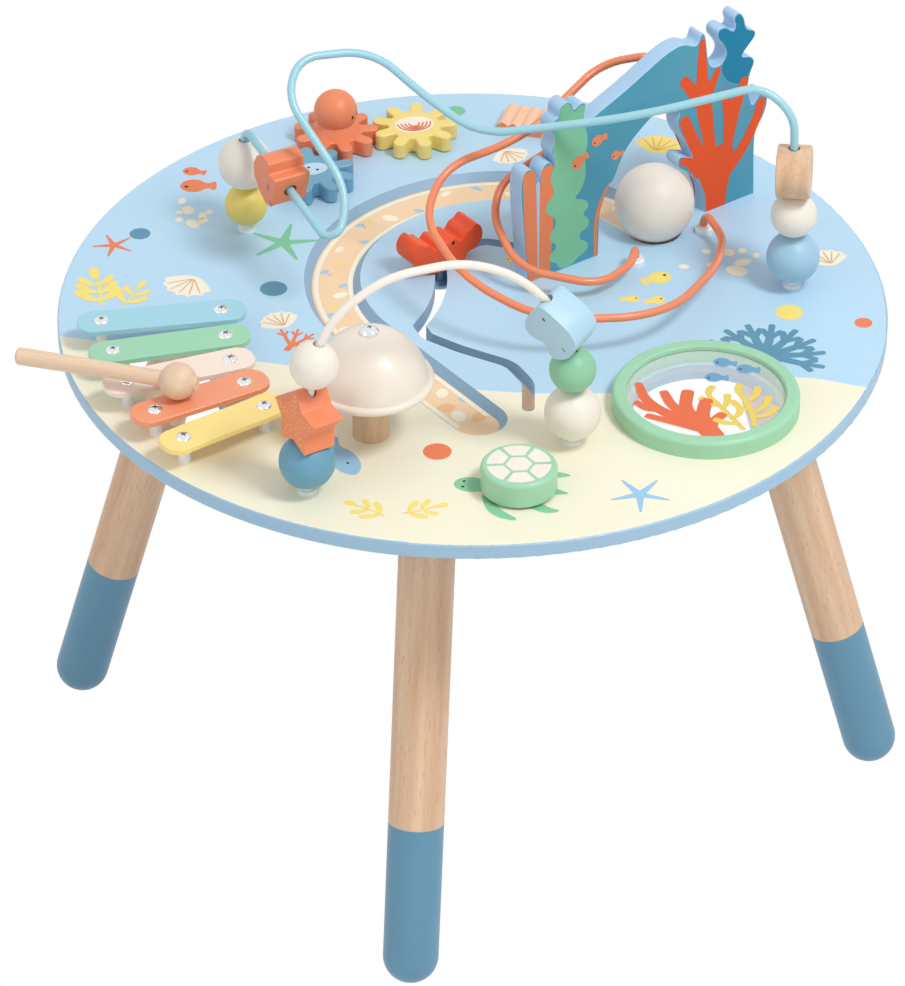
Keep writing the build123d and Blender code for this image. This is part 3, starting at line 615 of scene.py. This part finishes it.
def cross_recess(mesh, x, y, z, size, heading):
    """Cross-shaped driver recess, not cut: two short slivers of painted shade just proud of the dome."""
    for turn in (0, 90):
        at = flat_on((x, y, z), heading + turn)
        bmesh.ops.create_cube(mesh, size=1.0, matrix=at @ Matrix.Diagonal((size, size * 0.24, 0.1, 1)))


# Painted shade of the bell screw's cross recess.
board = bmesh.new()
bell_screw_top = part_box("bell_screw")[1].z / mm
cross_recess(board, *bell_spot, bell_screw_top, 3.4, 20)
piece("bell_screw_recess", board, shade, "table")

# ---- Drum window.  A sawn and routed ring of mint-painted plywood with a clear
# polyester film held in its groove; corals and fish are printed on the film.
mint = painted("satin_paint_mint", "#9FD3B0")
give("drum_ring", mint)
# Clear film: glossy and almost colourless, with a haze in patches 18 mm wide.
film, tree, place = surface("clear_polyester_film")
haze = add(tree, "TexNoise", {"Vector": place["Object"], "Scale": 1000 / 18})
colour = add(tree, "Mix", {0: haze, 6: "#F4F9FB", 7: "#FFFFFF"})
skin(tree, {"Base Color": colour, "Roughness": 0.08, "Alpha": 0.22})
give("drum_film", film)
film_face = 390.0
drum_x, drum_y = 181, -107
window = flat_on((drum_x, drum_y, film_face))
board = bmesh.new()
for points, widths in [
    ([(10, -49), (5, -42), (0, -36)], [15, 16, 15]), ([(7, -42), (8, -34), (13, -25)], [12, 8, 8]),
    ([(2, -38), (0, -24), (1, -10)], [13, 9.5, 10]), ([(-2, -36), (-13, -20), (-13, -1)], [13, 9, 9.5]),
    ([(-8, -27), (-22, -19), (-29, -3)], [9, 8, 7]),
    ([(-5, -35), (-26, -28), (-42, -13), (-48, 5)], [12, 9, 8, 6]),
    ([(-30, -24), (-40, -24), (-46, -18)], [7, 6.5, 6]), ([(0, -42), (-18, -38), (-36, -33)], [11, 7, 6.5]),
]:
    stroke(board, points, widths, window)
piece("film_coral_print", board, ink("film_coral", "#E8714A"), "table")
board = bmesh.new()
for points, widths in [
    ([(30, -39), (22, -28), (12, -14), (3, -3)], [3.5, 4, 4, 4]),
    ([(3, -3), (1, 3), (3, 9)], [3, 5.5, 5.5]),
    ([(12, -13), (3, -12), (-2, -6)], [3, 5, 5.5]), ([(14, -15), (16, -8), (15, 0)], [3, 5, 5.5]),
    ([(22, -27), (26, -21), (25, -13)], [3, 5, 5.5]), ([(26, -33), (18, -34), (11, -31)], [3, 5, 5.5]),
    ([(37, -33), (35, -20), (29, -6), (24, 3)], [3.5, 4, 4, 4]),
    ([(24, 3), (21, 8), (22, 14)], [3, 5.5, 5.5]),
    ([(34, -16), (25, -13), (20, -7)], [3, 5, 5.5]), ([(29, -5), (35, 3), (35, 12)], [3, 5, 6]),
    ([(35, -18), (43, -9), (44, 2)], [3, 5, 6]), ([(36, -24), (46, -19), (50, -10)], [3, 5, 5.5]),
]:
    stroke(board, points, widths, window)
piece("film_weed_print", board, ink("film_yellow", "#E9CE64"), "table")
film_fish = [
    (18, flat_on((drum_x + x, drum_y + y, film_face), heading))
    for x, y, heading in [(4, 22, 184), (8, 42, 176), (25, 36, 180)]
]
board = bmesh.new()
for length, at in film_fish:
    fish(board, length, at)
piece("film_fish_print", board, ink("film_blue", "#6FA3C4"), "table")
board = bmesh.new()
for length, at in film_fish:
    fish_eye(board, length, at)
piece("film_fish_eyes", board, black_ink, "table")

# ---- Ribbed scraper block: beech, orange on its sawn sides, with a clear-peach
# stain on the ridges that the beater is drawn across.
# Stained beech: grain lines 1.4 mm apart along the block, paler on the ridges.
ribbed, tree, place = surface("stained_ribbed_block")
facing = add(tree, "SeparateXYZ", {0: place["Normal"]}).outputs[2]
turned = (
    Matrix.Translation(Vector((3, 254, top_face)) * mm)
    @ spin(82)
    @ spin(90, "Y")
)
long_way = add(tree, "Mapping", {"Vector": grain_space(tree, place, turned), "Scale": (1, 1, 0.07)})
fibre = add(tree, "TexNoise", {"Vector": long_way, "Scale": 1000 / 1.4})
ridge = add(tree, "Mix", {0: fibre, 6: "#F0B893", 7: "#FBD6B8"})
side = add(tree, "Mix", {0: fibre, 6: "#EA8C62", 7: "#F09A70"})
is_ridge = add(tree, "MapRange", {0: facing, 1: 0.25, 2: 0.3})
colour = add(tree, "Mix", {0: is_ridge, 6: side, 7: ridge})
skin(tree, {"Base Color": colour, "Roughness": 0.5}, fibre, 0.1)
give("scraper_block", ribbed)

# ---- Coral arch.  14 mm plywood sawn to one outline; light blue is sprayed over
# the sawn edges and teal over both faces, which carry printed coral and kelp.
def sawn(name, outline, across, place, material, node, body, bore=None):
    """Block sawn to a smooth outline, its arrises eased 0.6 mm, bored for its wire."""
    mesh = bmesh.new()
    from_curve(
        mesh, outline, Matrix.Identity(4), dimensions="2D", fill_mode="BOTH", resolution_u=8,
        extrude=across / 2 - 0.6, bevel_depth=0.6, bevel_resolution=2, offset=-0.6,
    )
    bmesh.ops.remove_doubles(mesh, verts=mesh.verts, dist=0.002)
    bmesh.ops.transform(mesh, matrix=place, verts=mesh.verts)
    bmesh.ops.recalc_face_normals(mesh, faces=mesh.faces)
    block = piece(name, mesh, material, body, True)
    if bore:
        centre, way, width = bore
        drill = bmesh.new()
        turn = Vector(way).to_track_quat("Z", "Y").to_matrix().to_4x4()
        bmesh.ops.create_cone(
            drill, cap_ends=True, segments=40, radius1=width / 2 * mm, radius2=width / 2 * mm, depth=0.12,
            matrix=Matrix.Translation(Vector(centre) * mm) @ turn,
        )
        cut_mesh = bpy.data.meshes.new("drill")
        drill.to_mesh(cut_mesh)
        drill.free()
        cutter = bpy.data.objects.new("drill", cut_mesh)
        bpy.context.scene.collection.objects.link(cutter)
        cut = block.modifiers.new("bore", "BOOLEAN")
        cut.operation = "DIFFERENCE"
        cut.object = cutter
        ready = block.evaluated_get(bpy.context.evaluated_depsgraph_get())
        block.data = bpy.data.meshes.new_from_object(ready)
        block.modifiers.clear()
        bpy.data.objects.remove(cutter)
    block.data.set_sharp_from_angle(angle=math.radians(24))
    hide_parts(node)
    return block


arch_turn = math.radians(44.55)
arch_along = Vector((math.cos(arch_turn), math.sin(arch_turn), 0))
arch_behind = Vector((-math.sin(arch_turn), math.cos(arch_turn), 0))
arch_foot = Vector((55, 52, top_face))
# Sprayed plywood: teal faces and light-blue sawn edges, faintly cloudy, satin.
panel, tree, place = surface("sprayed_plywood_teal_and_sky")
outward = add(tree, "VectorMath", {0: place["Normal"], 1: arch_behind}, operation="DOT_PRODUCT")
facing = add(tree, "Math", {0: outward}, operation="ABSOLUTE")
on_face = add(tree, "MapRange", {0: facing, 1: 0.97, 2: 0.985})
cloud = add(tree, "TexNoise", {"Vector": place["Object"], "Scale": 1000 / 40})
face = add(tree, "Mix", {0: cloud, 6: "#4391AB", 7: "#4B9CB3"})
edge = add(tree, "Mix", {0: cloud, 6: "#A4C6E4", 7: "#AFD0EC"})
colour = add(tree, "Mix", {0: on_face, 6: edge, 7: face})
peel = add(tree, "TexNoise", {"Vector": place["Object"], "Scale": 1000 / 1.5})
skin(tree, {"Base Color": colour, "Roughness": 0.46}, peel)


def upright_on(origin, across, out):
    """Placement of a print, in millimetres, on a standing face: across, up, outwards."""
    across = Vector(across).normalized()
    out = Vector(out).normalized()
    rise = out.cross(across)
    turn = Matrix((across, rise, out)).transposed().to_4x4()
    return Matrix.Translation(Vector(origin) * mm) @ turn @ Matrix.Scale(mm, 4)


# Across and up, from the left tube's outer foot over the top and back under the opening.
arch_thickness = 14
arch_outline = [
    (-27, 0), (-29, 20), (-32, 55), (-34, 80), (-32.5, 94), (-26.5, 97.5), (-20.5, 92), (-18.6, 80),
    (-16.6, 90), (-12, 96.5), (-6.5, 96), (-3.8, 88), (-3, 96), (-7.5, 105), (-2, 113), (-8, 123),
    (-3.5, 130), (0, 130), (0, 138), (6.5, 141.5), (11.5, 138), (14, 131), (18.5, 136), (25, 134),
    (22, 126), (24, 117), (31, 120), (43, 125), (62, 132.8), (81, 142.3), (96, 149.5), (106, 152.2),
    (114, 152.2), (123, 147), (127, 148), (128.5, 155.5), (132.5, 155), (134.5, 144), (136.5, 129),
    (140, 123.5), (148.5, 122.5), (154, 130), (150.5, 139), (144, 146), (144.5, 154), (152.5, 154),
    (159, 147), (161.5, 151.5), (158.5, 158), (163, 162.5), (169, 157), (171, 145), (180, 142),
    (180.5, 136.5), (173, 130), (166.5, 123), (177, 121), (181, 115), (176.5, 107), (174.5, 95),
    (177, 84), (180, 77), (184, 82), (189, 88), (195, 82), (192.5, 67), (184, 56), (182.7, 45),
    (184.5, 0), (184.5, 0), (138.3, 0), (138.3, 0), (138.6, 18), (131, 31), (120.6, 41.5), (110, 49),
    (111, 58), (118, 55.5), (125.5, 50.5), (121, 65), (113, 75), (108, 88), (112.5, 96), (103, 99),
    (99, 104), (92, 105.5), (81, 98.5), (71, 91), (62.5, 83), (57, 74), (52.5, 63), (50, 59), (42, 55),
    (39.5, 44), (38, 25), (37.8, 0), (37.8, 0), (-27, 0),
]
panel_front = upright_on(arch_foot, arch_along, -arch_behind)
panel_back = upright_on(arch_foot + arch_behind * arch_thickness, -arch_along, arch_behind)
panel_middle = upright_on(arch_foot + arch_behind * arch_thickness / 2, arch_along, -arch_behind)
sawn("coral_panel.001", arch_outline, arch_thickness, panel_middle, panel, "coral_arch", "table")


# The prints of the front face; on the back one they are mirrored.  A stroke that starts
# at the foot is cut square there.
kelp_edge = [
    (2, 0.8), (14, 0.8), (18, 5), (27, 8), (29, 15), (20, 20), (20, 26), (28, 28), (29, 35), (23, 40),
    (24, 43), (28, 45), (27, 51), (20, 55), (14, 57), (21, 62), (25, 72), (25, 82), (23, 90),
    (26, 98), (26, 108), (23, 116), (22, 124), (24, 133), (18.5, 134.5), (14, 129.5), (10.5, 137),
    (6.5, 140.5), (0.8, 138), (0.8, 129.6), (-3, 129.2), (-7, 123), (-1.6, 113), (-6.5, 106), (-3.4, 97),
    (-3.4, 90), (-6.5, 86), (-7, 79), (-4, 72), (-4, 66), (-11, 61), (-11, 53), (-2, 47), (-2, 39),
    (-7.5, 34), (-7, 28), (-1, 24), (-2, 20), (-7, 17), (-7, 11), (0, 7),
]
branch_limbs = [
    ([(148, 0.5), (148, 16), (147.5, 29), (147.5, 38)], [18.8, 19, 31, 33]),
    ([(131, 39), (124, 47), (119, 51), (115.5, 52.5)], [12, 9, 7, 6]),
    ([(136, 43), (128, 59), (120.5, 75), (116, 86)], [13, 10.5, 10, 9]),
    (
        [(142.5, 40), (140, 60), (134.5, 88), (132, 104), (131, 120), (130.3, 136), (130.3, 148)],
        [13, 10, 14.5, 14, 10, 7.5, 5],
    ),
    ([(130, 98), (121.5, 111), (115, 120)], [11, 9.5, 8.5]),
    ([(136, 100), (141.5, 111), (145.5, 119)], [10, 7.5, 5.5]),
    ([(156.5, 38), (157.5, 54), (159.5, 70), (160.5, 82)], [9, 9, 13, 16]),
    ([(157, 80), (154.3, 91), (153.5, 98)], [10, 7.5, 5.5]),
    ([(163, 80), (167.5, 92), (171, 101)], [11, 9.5, 8]),
    ([(156, 30), (169, 40.5), (178.5, 54), (185, 67), (188, 77)], [14, 10, 9.5, 9, 8.5]),
]
frond_edge = [
    (149, 118), (154, 108), (163, 102), (171, 100), (175.5, 107), (180, 114.5), (176.5, 120),
    (165.5, 123), (172.5, 130.5), (179.5, 137), (179, 141.2), (170, 144.5), (168, 156), (163, 161),
    (159.8, 157.5),
    (162.3, 151), (159, 145.5), (152, 152.5), (145.7, 152.8), (145, 147), (151.5, 139.5), (155, 130),
    (150.5, 124),
]
tube_strokes = [
    ([(-21.6, 0.5), (-24.4, 44), (-26.4, 89)], [8.6, 12, 11.6]),
    ([(-12, 0.5), (-10.4, 44), (-9.9, 87)], [9.6, 13.4, 12.8]),
]
gap_strokes = [([(-17.4, 10), (-17.4, 50), (-18.4, 81)], [1.4, 3, 3.6])]
bank_strokes = [([(35.2, 1), (34.4, 26), (37.5, 42), (46, 58)], [3.2, 3.4, 4.4, 1.4])]
arch_fish = [(36, 99, 15, 190), (53, 80.5, 12, 176), (18.5, 87, 17, 204)]
foot_height = 0.5
panel_faces = [(panel_front, 1), (panel_back, -1)]
for name, code, lift, shapes in [
    ("arch_tube_prints", "#E88457", None, tube_strokes),
    ("arch_gap_prints", "#A9CBE3", None, gap_strokes),
    ("arch_bank_prints", "#E2895F", None, bank_strokes),
    ("arch_kelp_prints", "#7FC39B", 2.0, [(kelp_edge, [])]),
    ("arch_frond_prints", "#007EA3", 0.9, [(frond_edge, [])]),
    ("arch_branch_prints", "#EA5216", None, branch_limbs),
]:
    board = bmesh.new()
    for at, side in panel_faces:
        for points, widths in shapes:
            line = [(side * u, v) for u, v in points]
            if lift:
                patch(board, line, at, lift)
            else:
                stroke(board, line, widths, at, points[0][1] == foot_height)
    piece(name, board, ink(name, code), "table")
for name, code, draw in [("arch_fish_prints", "#EE8A5C", fish), ("arch_fish_eyes", "#23262B", fish_eye)]:
    board = bmesh.new()
    for at, side in panel_faces:
        for u, v, length, heading in arch_fish:
            turn = heading if side > 0 else 180 - heading
            draw(board, length, at @ Matrix.Translation((side * u, v, 0.08)) @ spin(turn))
    piece(name, board, ink(name, code), "table")

# ---- Xylophone.  Five steel bars, powder coated, on felt washers over white
# moulded posts; each is held by two domed cross-head screws.
for bar, code in {
    "blue_bar": "#9FD3E3", "green_bar": "#9AD4B1", "pink_bar": "#F7E4D8",
    "orange_bar": "#F29B74", "yellow_bar": "#FCE08A",
}.items():
    give(bar, powder_coat("powder_coated_" + bar, code, 0.4))
give("bar_posts", white_moulding)
# Pressed felt: matt off-white, with a fluff 0.8 mm across.
felt, tree, place = surface("pressed_white_felt")
fluff = add(tree, "TexNoise", {"Vector": place["Object"], "Scale": 1000 / 0.8, "Detail": 4.0})
colour = add(tree, "Mix", {0: fluff, 6: "#E4E4E0", 7: "#F7F7F4"})
skin(tree, {"Base Color": colour, "Roughness": 0.95, "Sheen Weight": 0.3}, fluff, 0.5, 0.5)
give("bar_felts", felt)
give("bar_screws", chrome)
bar_screw_spots = [
    (-254.1, -90.8), (-172.1, -64.3), (-238.1, -127.3), (-163.1, -96.3), (-220.3, -163.7),
    (-154.1, -126.3), (-194.1, -196.3), (-139.1, -153.3), (-168.1, -226.3), (-120.1, -180.3),
]
bar_screw_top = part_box("bar_screws")[1].z / mm
dome_radius = 5.6
dome_height = 2.6
domes = bmesh.new()
for x, y in bar_screw_spots:
    at = flat_on((x, y, bar_screw_top - dome_height))
    ball = bmesh.ops.create_uvsphere(
        domes, u_segments=32, v_segments=16, radius=1.0,
        matrix=at @ Matrix.Diagonal((dome_radius, dome_radius, dome_height, 1)),
    )
    under = [vert for vert in ball["verts"] if vert.co.z < (bar_screw_top - dome_height - 0.1) * mm]
    bmesh.ops.delete(domes, geom=under, context="VERTS")
    bmesh.ops.create_cone(
        domes, cap_ends=True, segments=24, radius1=1.9 * mm, radius2=1.9 * mm, depth=18 * mm,
        matrix=Matrix.Translation(Vector((x, y, bar_screw_top - 11.5)) * mm),
    )
bmesh.ops.holes_fill(domes, edges=domes.edges)
screws = piece("bar_dome_screws", domes, chrome, "table", True)
screws.data.set_sharp_from_angle(angle=math.radians(40))
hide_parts("bar_screws")
# Painted shade of each bar screw's cross recess.
board = bmesh.new()
for at, (x, y) in enumerate(bar_screw_spots):
    cross_recess(board, x, y, bar_screw_top, 4.0, 17 * at)
piece("bar_screw_recesses", board, shade, "table")

# ---- Mallet: a turned beech ball glued on a beech dowel, clear lacquered.  The grain
# runs along the dowel and across the ball.
mallet_way = Vector((-118, 15, 0)).normalized()
mallet_turn = mallet_way.to_track_quat("Z", "Y").to_matrix().to_4x4()
mallet_place = Matrix.Translation((-0.181, -0.179, 0.4136)) @ mallet_turn
give("mallet_handle", beech("lacquered_beech_dowel", mallet_place, 0.35))
cross_grain = mallet_place @ spin(75, "X")
give("mallet_head", beech("lacquered_beech_ball", cross_grain, 0.3))

# ---- Gears.  Three sawn wheels, painted, each glued on a beech axle; the first
# carries an octopus's turned head with two dot eyes, the others flat prints.
orange_paint = painted("satin_paint_orange", "#EF8A60")
give("octopus_gear", orange_paint)
give("octopus_head", orange_paint)
yellow_paint = painted("satin_paint_yellow", "#F4DB80")
give("yellow_gear", yellow_paint)
mid_blue = painted("satin_paint_mid_blue", "#6FA6C4")
give("blue_gear", mid_blue)
gear_face = 393.0
octopus_spot = (-134.8, 206.2)
yellow_spot = (-76.9, 222.0)
blue_spot = (-142.7, 146.7)
knob_spot = (65, -226)
axle_foot = 360
for axle, spot in [
    ("octopus_gear_axle", octopus_spot), ("yellow_gear_axle", yellow_spot),
    ("blue_gear_axle", blue_spot), ("turtle_knob_axle", knob_spot),
]:
    give(axle, beech("oiled_beech_" + axle, Matrix.Translation(Vector((*spot, axle_foot)) * mm)))


def eye(mesh, centre, toward, size):
    """Small painted dot lying on a curved or flat face."""
    toward = Vector(toward).normalized()
    turn = toward.to_track_quat("Z", "Y").to_matrix().to_4x4()
    place = Matrix.Translation(Vector(centre) * mm) @ turn @ Matrix.Scale(mm, 4)
    bmesh.ops.create_uvsphere(
        mesh, u_segments=20, v_segments=10, radius=size / 2, matrix=place @ Matrix.Diagonal((1, 1, 0.12, 1))
    )


board = bmesh.new()
head_radius = 16.5
head_middle = Vector((*octopus_spot, gear_face + head_radius))
for yaw in (21, 47):
    a = math.radians(yaw - 50)
    way = Vector((math.cos(a) * 0.995, math.sin(a) * 0.995, -0.02)).normalized()
    eye(board, head_middle + way * (head_radius + 0.05), way, 2.8)
piece("octopus_eyes", board, black_ink, "octopus_wheel", True)
board = bmesh.new()
dot(board, 0, 0, 30, flat_on((*yellow_spot, gear_face)), 0.8, 20)
piece("yellow_gear_print", board, ink("gear_cream", "#FAEFDC"), "yellow_wheel")
board = bmesh.new()
at = flat_on((*yellow_spot, gear_face + 0.08), 200)
for r in (4, 7, 10, 13):
    arc = [(-r, -2), (-r * 0.8, r * 0.5), (0, r * 0.75), (r * 0.8, r * 0.5), (r, -2)]
    stroke(board, arc, [1.0, 1.6, 2.0, 1.6, 1.0], at)
piece("yellow_gear_stripes", board, ink("gear_red", "#E07A52"), "yellow_wheel")
board = bmesh.new()
dot(board, 0, 0, 24, flat_on((*blue_spot, gear_face)), 0.7, 30)
piece("blue_gear_print", board, ink("gear_pale", "#BCDCEE"), "blue_wheel")
board = bmesh.new()
for x, y in [(-3, 1.5), (4, -0.5)]:
    dot(board, x, y, 2.4, flat_on((*blue_spot, gear_face + 0.06)))
piece("blue_gear_dots", board, black_ink, "blue_wheel")

# ---- Turtle knob.  A turned disc of mint-painted wood with white shell plates
# printed on top; head, flippers and tail are printed on the board round it.
give("turtle_knob", mint)
knob_top = 400.5
knob_place = flat_on((*knob_spot, knob_top), 12)


def plate(mesh, corners, place):
    """One shell plate: a flat outline with its corners cut."""
    made = [mesh.verts.new(place @ Vector((x, y, ink_lift))) for x, y in corners]
    face = mesh.faces.new(made)
    bmesh.ops.bevel(
        mesh, geom=list(face.verts), offset=0.8 * mm, segments=3, profile=0.5, material=-1, affect="VERTICES"
    )


board = bmesh.new()
plate(board, [ring_point(9.2, 60 * i) for i in range(6)], knob_place)
for i in range(6):
    outer = [ring_point(22.3, 60 * i + 4 + step * 13) for step in range(5)]
    plate(board, outer + [ring_point(11.0, 60 * i + 54), ring_point(11.0, 60 * i + 6)], knob_place)
piece("turtle_shell_plates", board, ink("shell_plate", "#F4EBE0"), "turtle_knob")
board = bmesh.new()
at = flat_on((*knob_spot, top_face))
dot(board, -33, 0, 24, at, 0.74)
for points, widths in [
    ([(-20, -14), (-15, -26), (-7, -33), (1, -36)], [7, 9, 8, 4]),
    ([(13, -18), (22, -23), (29, -22.5)], [9, 8, 3]),
    ([(19, 19), (27, 20.5), (32, 20.5)], [8, 6, 2]), ([(22, 0), (29, -0.5), (33, -1)], [8, 5, 2]),
]:
    stroke(board, points, widths, at)
piece("turtle_limb_prints", board, ink("turtle_green", "#8ACBA3"), "table")
board = bmesh.new()
for x, y in [(-38.4, 3.2), (-38.4, -3.4)]:
    dot(board, x, y, 2.2, at, 1.0, 0.0, 2.2)
piece("turtle_eye_prints", board, black_ink, "table")

# ---- Rolling ball: turned wood, sprayed cream in two coats.  It runs loose in the
# wide channel.
cream_paint = painted("satin_paint_cream", "#F1E8DB")
give("rolling_ball", cream_paint)

# ---- Crab.  Sawn from 22 mm board and painted red, with two dot eyes and a drawn
# smile; its stem and disc, painted slot blue, hold it in the slot.
crab_turn = math.radians(44.5)
crab_along = Vector((math.cos(crab_turn), math.sin(crab_turn), 0))
crab_out = Vector((math.sin(crab_turn), -math.cos(crab_turn), 0))
crab_seat = Vector((-31.67, 49.85, top_face + 0.5))
crab_thickness = 22
half_crab = [
    (15, 0), (17, 8.5), (26, 9.5), (31.5, 16), (31, 26), (24.5, 31.5), (20.5, 26.5), (15.5, 26), (11.5, 18.5),
    (7, 25.5),
]
crab_outline = half_crab + [(0, 21.5)] + [(-u, v) for u, v in reversed(half_crab)]
sawn(
    "crab_block.001", crab_outline, crab_thickness, upright_on(crab_seat, crab_along, crab_out),
    painted("satin_paint_red", "#EE5222"), "crab", "crab",
)
slot_paint = painted("satin_paint_slot_blue", "#8DB2CC")
give("crab_stem", slot_paint)
give("crab_disc", slot_paint)
crab_face = upright_on(crab_seat + crab_out * crab_thickness / 2, crab_along, crab_out)
board = bmesh.new()
for u in (-4.8, 4.5):
    dot(board, u, 21.4, 2.7, crab_face, 1.25)
stroke(board, [(-3.0, 16.9), (-1.6, 15.6), (0.4, 15.5), (1.8, 16.7)], [0.8, 0.9, 0.9, 0.8], crab_face)
piece("crab_face_print", board, black_ink, "crab")

# ---- Beads and blocks.  Turned and sawn hardwood, sprayed; the blocks carry a
# dot eye and a short drawn mouth, the star a scatter of yellow flecks.
give("lemon_bead", painted("satin_paint_lemon", "#EBD571"))
give("blue_bead", painted("satin_paint_deep_blue", "#669EB8"))
give("green_bead", painted("satin_paint_green", "#8CC6A1"))
give("sky_bead", painted("satin_paint_sky", "#9EC4DC"))
white_paint = painted("satin_paint_white", "#EFE7DA")
for bead in ("cream_bead_back", "white_bead", "cream_bead_front", "cream_bead_right"):
    give(bead, white_paint)
give("fish_block", orange_paint)
disc_grain = Matrix.Translation((0.22445, 0.058, 0.47678)) @ spin(8, "Y")
give("wood_disc", beech("lacquered_beech_disc", disc_grain))

fish_out = Vector((-0.8, -0.6, 0.0))
fish_rise = Vector((0.1138, -0.1517, 0.9819))
fish_end = Vector((-144.88, 30.17, 456.70)) + fish_out * 14
fish_place = upright_on(fish_end, fish_rise.cross(fish_out), fish_out)
board = bmesh.new()
stroke(board, [(7.5, 3), (8, 0.5), (8, -2)], [0.9, 1.1, 0.9], fish_place)
stroke(board, [(12, -9), (13.5, -11), (15.5, -11.6)], [0.8, 0.9, 0.8], fish_place)
piece("fish_face_print", board, black_ink, "fish_block")

star_middle = Vector((-76.0, -249.0, 440.9))
star_rise = Vector((0.0615, 0.0304, 0.9976))
star_out = Vector((-0.7096, -0.7016, 0.0652))
star_across = star_rise.cross(star_out)
star_reach = 24.6
star_waist = 14.3
star_corners = []
for corner in range(10):
    reach = star_waist if corner % 2 else star_reach
    star_corners.append(Vector(ring_point(reach, 90 + 36 * corner)))
star_outline = []
for corner in range(10):
    here = star_corners[corner]
    for other in (star_corners[corner - 1], here, star_corners[(corner + 1) % 10]):
        star_outline.append(here + (other - here).normalized() * (2.6 if other is not here else 0))
star_thickness = 25
star_bore = 8.4
sawn(
    "star_wood.001", star_outline, star_thickness, upright_on(star_middle, star_across, star_out),
    orange_paint, "star_block", "star_block", (star_middle, star_rise, star_bore),
)
star_face = upright_on(star_middle + star_out * star_thickness / 2, star_across, star_out)
board = bmesh.new()
for arm in range(5):
    arm_way = star_face @ spin(90 + 72 * arm)
    for along, aside in [
        (4.5, 0.4), (8, 2.2), (8.6, -1.8), (12, 1.9), (12.8, -1.7), (16, 0.9), (17, -1.2), (20, 0),
    ]:
        dot(board, along, aside, 1.3, arm_way, 1.5, 50 * aside)
piece("star_fleck_print", board, ink("fleck_yellow", "#F4C34F"), "star_block")

whale_middle = Vector((83.67, -170.1, 483.14))
whale_wire = Vector((-0.3803, -0.188, 0.9056))
whale_rise = Vector((-0.3173, -0.0743, 0.9454))
whale_out = Vector((-0.4859, -0.8433, -0.2293))
whale_across = whale_rise.cross(whale_out)
whale_outline = [
    (2.1, 23.5), (9.8, 16.5), (17.5, 9), (22.5, 1.5), (23.3, -8), (18, -14), (9.5, -23), (-3.2, -25.5),
    (-7.2, -23.5), (-6.4, -11.8), (-14.3, -10), (-20.5, -6), (-21, 1.5), (-15.5, 9), (-6.6, 17),
]
whale_thickness = 25.2
whale_bore = 10.0
sawn(
    "whale_wood.001", whale_outline, whale_thickness, upright_on(whale_middle, whale_across, whale_out),
    painted("satin_paint_whale", "#AED2E6"), "whale_block", "whale_block",
    (whale_middle, whale_wire, whale_bore),
)
whale_face = upright_on(whale_middle + whale_out * whale_thickness / 2, whale_across, whale_out)
board = bmesh.new()
dot(board, 1.4, 10.8, 1.9, whale_face, 1.7, 30)
stroke(board, [(8.9, -12.8), (8.9, -14.4), (9.8, -15.5)], [0.8, 0.9, 0.8], whale_face)
piece("whale_face_print", board, black_ink, "whale_block")

# ---- Studio: a white floor in a white room that is brighter overhead, a key lamp on
# the right, two weaker lamps, one low and one on the left, and the camera.
def white_where_seen(tree, lit, plain):
    """Mix of two shaders, the plain one for what the camera sees straight, mirrored or through film."""
    way = add(tree, "LightPath").outputs
    seen = add(tree, "Math", {0: way["Is Camera Ray"], 1: way["Is Glossy Ray"]}, operation="MAXIMUM")
    seen = add(tree, "Math", {0: seen, 1: way["Is Transmission Ray"]}, operation="MAXIMUM")
    return add(tree, "MixShader", {0: seen, 1: lit, 2: plain})


ground = bmesh.new()
bmesh.ops.create_grid(ground, x_segments=1, y_segments=1, size=12.0)
data = bpy.data.meshes.new("floor")
ground.to_mesh(data)
ground.free()
floor = bpy.data.objects.new("floor", data)
bpy.context.scene.collection.objects.link(floor)
# White paper: matt where it lights the table, plain white where it is seen.
paper, tree, place = surface("white_paper_floor")
shader = add(tree, "BsdfPrincipled", {"Base Color": "#F6F6F6", "Roughness": 0.9})
glow = add(tree, "Emission", {"Color": "#FFFFFF", "Strength": 1.0})
add(tree, "OutputMaterial", {"Surface": white_where_seen(tree, shader, glow)})
data.materials.append(paper)

world = bpy.data.worlds.new("studio")
bpy.context.scene.world = world
world.use_nodes = True
tree = world.node_tree
tree.nodes.clear()
high = add(tree, "SeparateXYZ", {0: add(tree, "TexCoord").outputs["Generated"]}).outputs[2]
overhead = add(tree, "MapRange", {0: high, 1: -0.1, 3: 0.36, 4: 0.74})
even = add(tree, "Background", {"Color": "#FFFFFF", "Strength": overhead})
white = add(tree, "Background", {"Color": "#FFFFFF", "Strength": 1.0})
add(tree, "OutputWorld", {"Surface": white_where_seen(tree, even, white)})


def lamp(name, place, target, power, size):
    """Square soft box aimed at a point."""
    light = bpy.data.lights.new(name, "AREA")
    light.energy = power
    light.size = size
    holder = bpy.data.objects.new(name, light)
    holder.location = place
    holder.rotation_euler = (Vector(target) - Vector(place)).to_track_quat("-Z", "Y").to_euler()
    bpy.context.scene.collection.objects.link(holder)


lamp("key_box", (1.5, -0.75, 3.0), (0, 0, 0.38), 47, 0.7)
lamp("fill_box", (-2.2, -1.8, 1.8), (0, 0, 0.3), 11, 2.0)
lamp("low_box", (1.4, -2.6, 0.35), (0, 0, 0.1), 7, 1.2)

lens = bpy.data.cameras.new("view")
picture_height = 986.0
focal_length = 4973.0
lens.sensor_width = 36.0
lens.lens = focal_length * lens.sensor_width / picture_height
camera = bpy.data.objects.new("view", lens)
camera.location = (0.43312, -2.99365, 2.33689)
camera.rotation_euler = [math.radians(a) for a in (54.920, 0.065, 8.464)]
bpy.context.scene.collection.objects.link(camera)
bpy.context.scene.camera = camera
bpy.context.scene.view_settings.view_transform = "Standard"
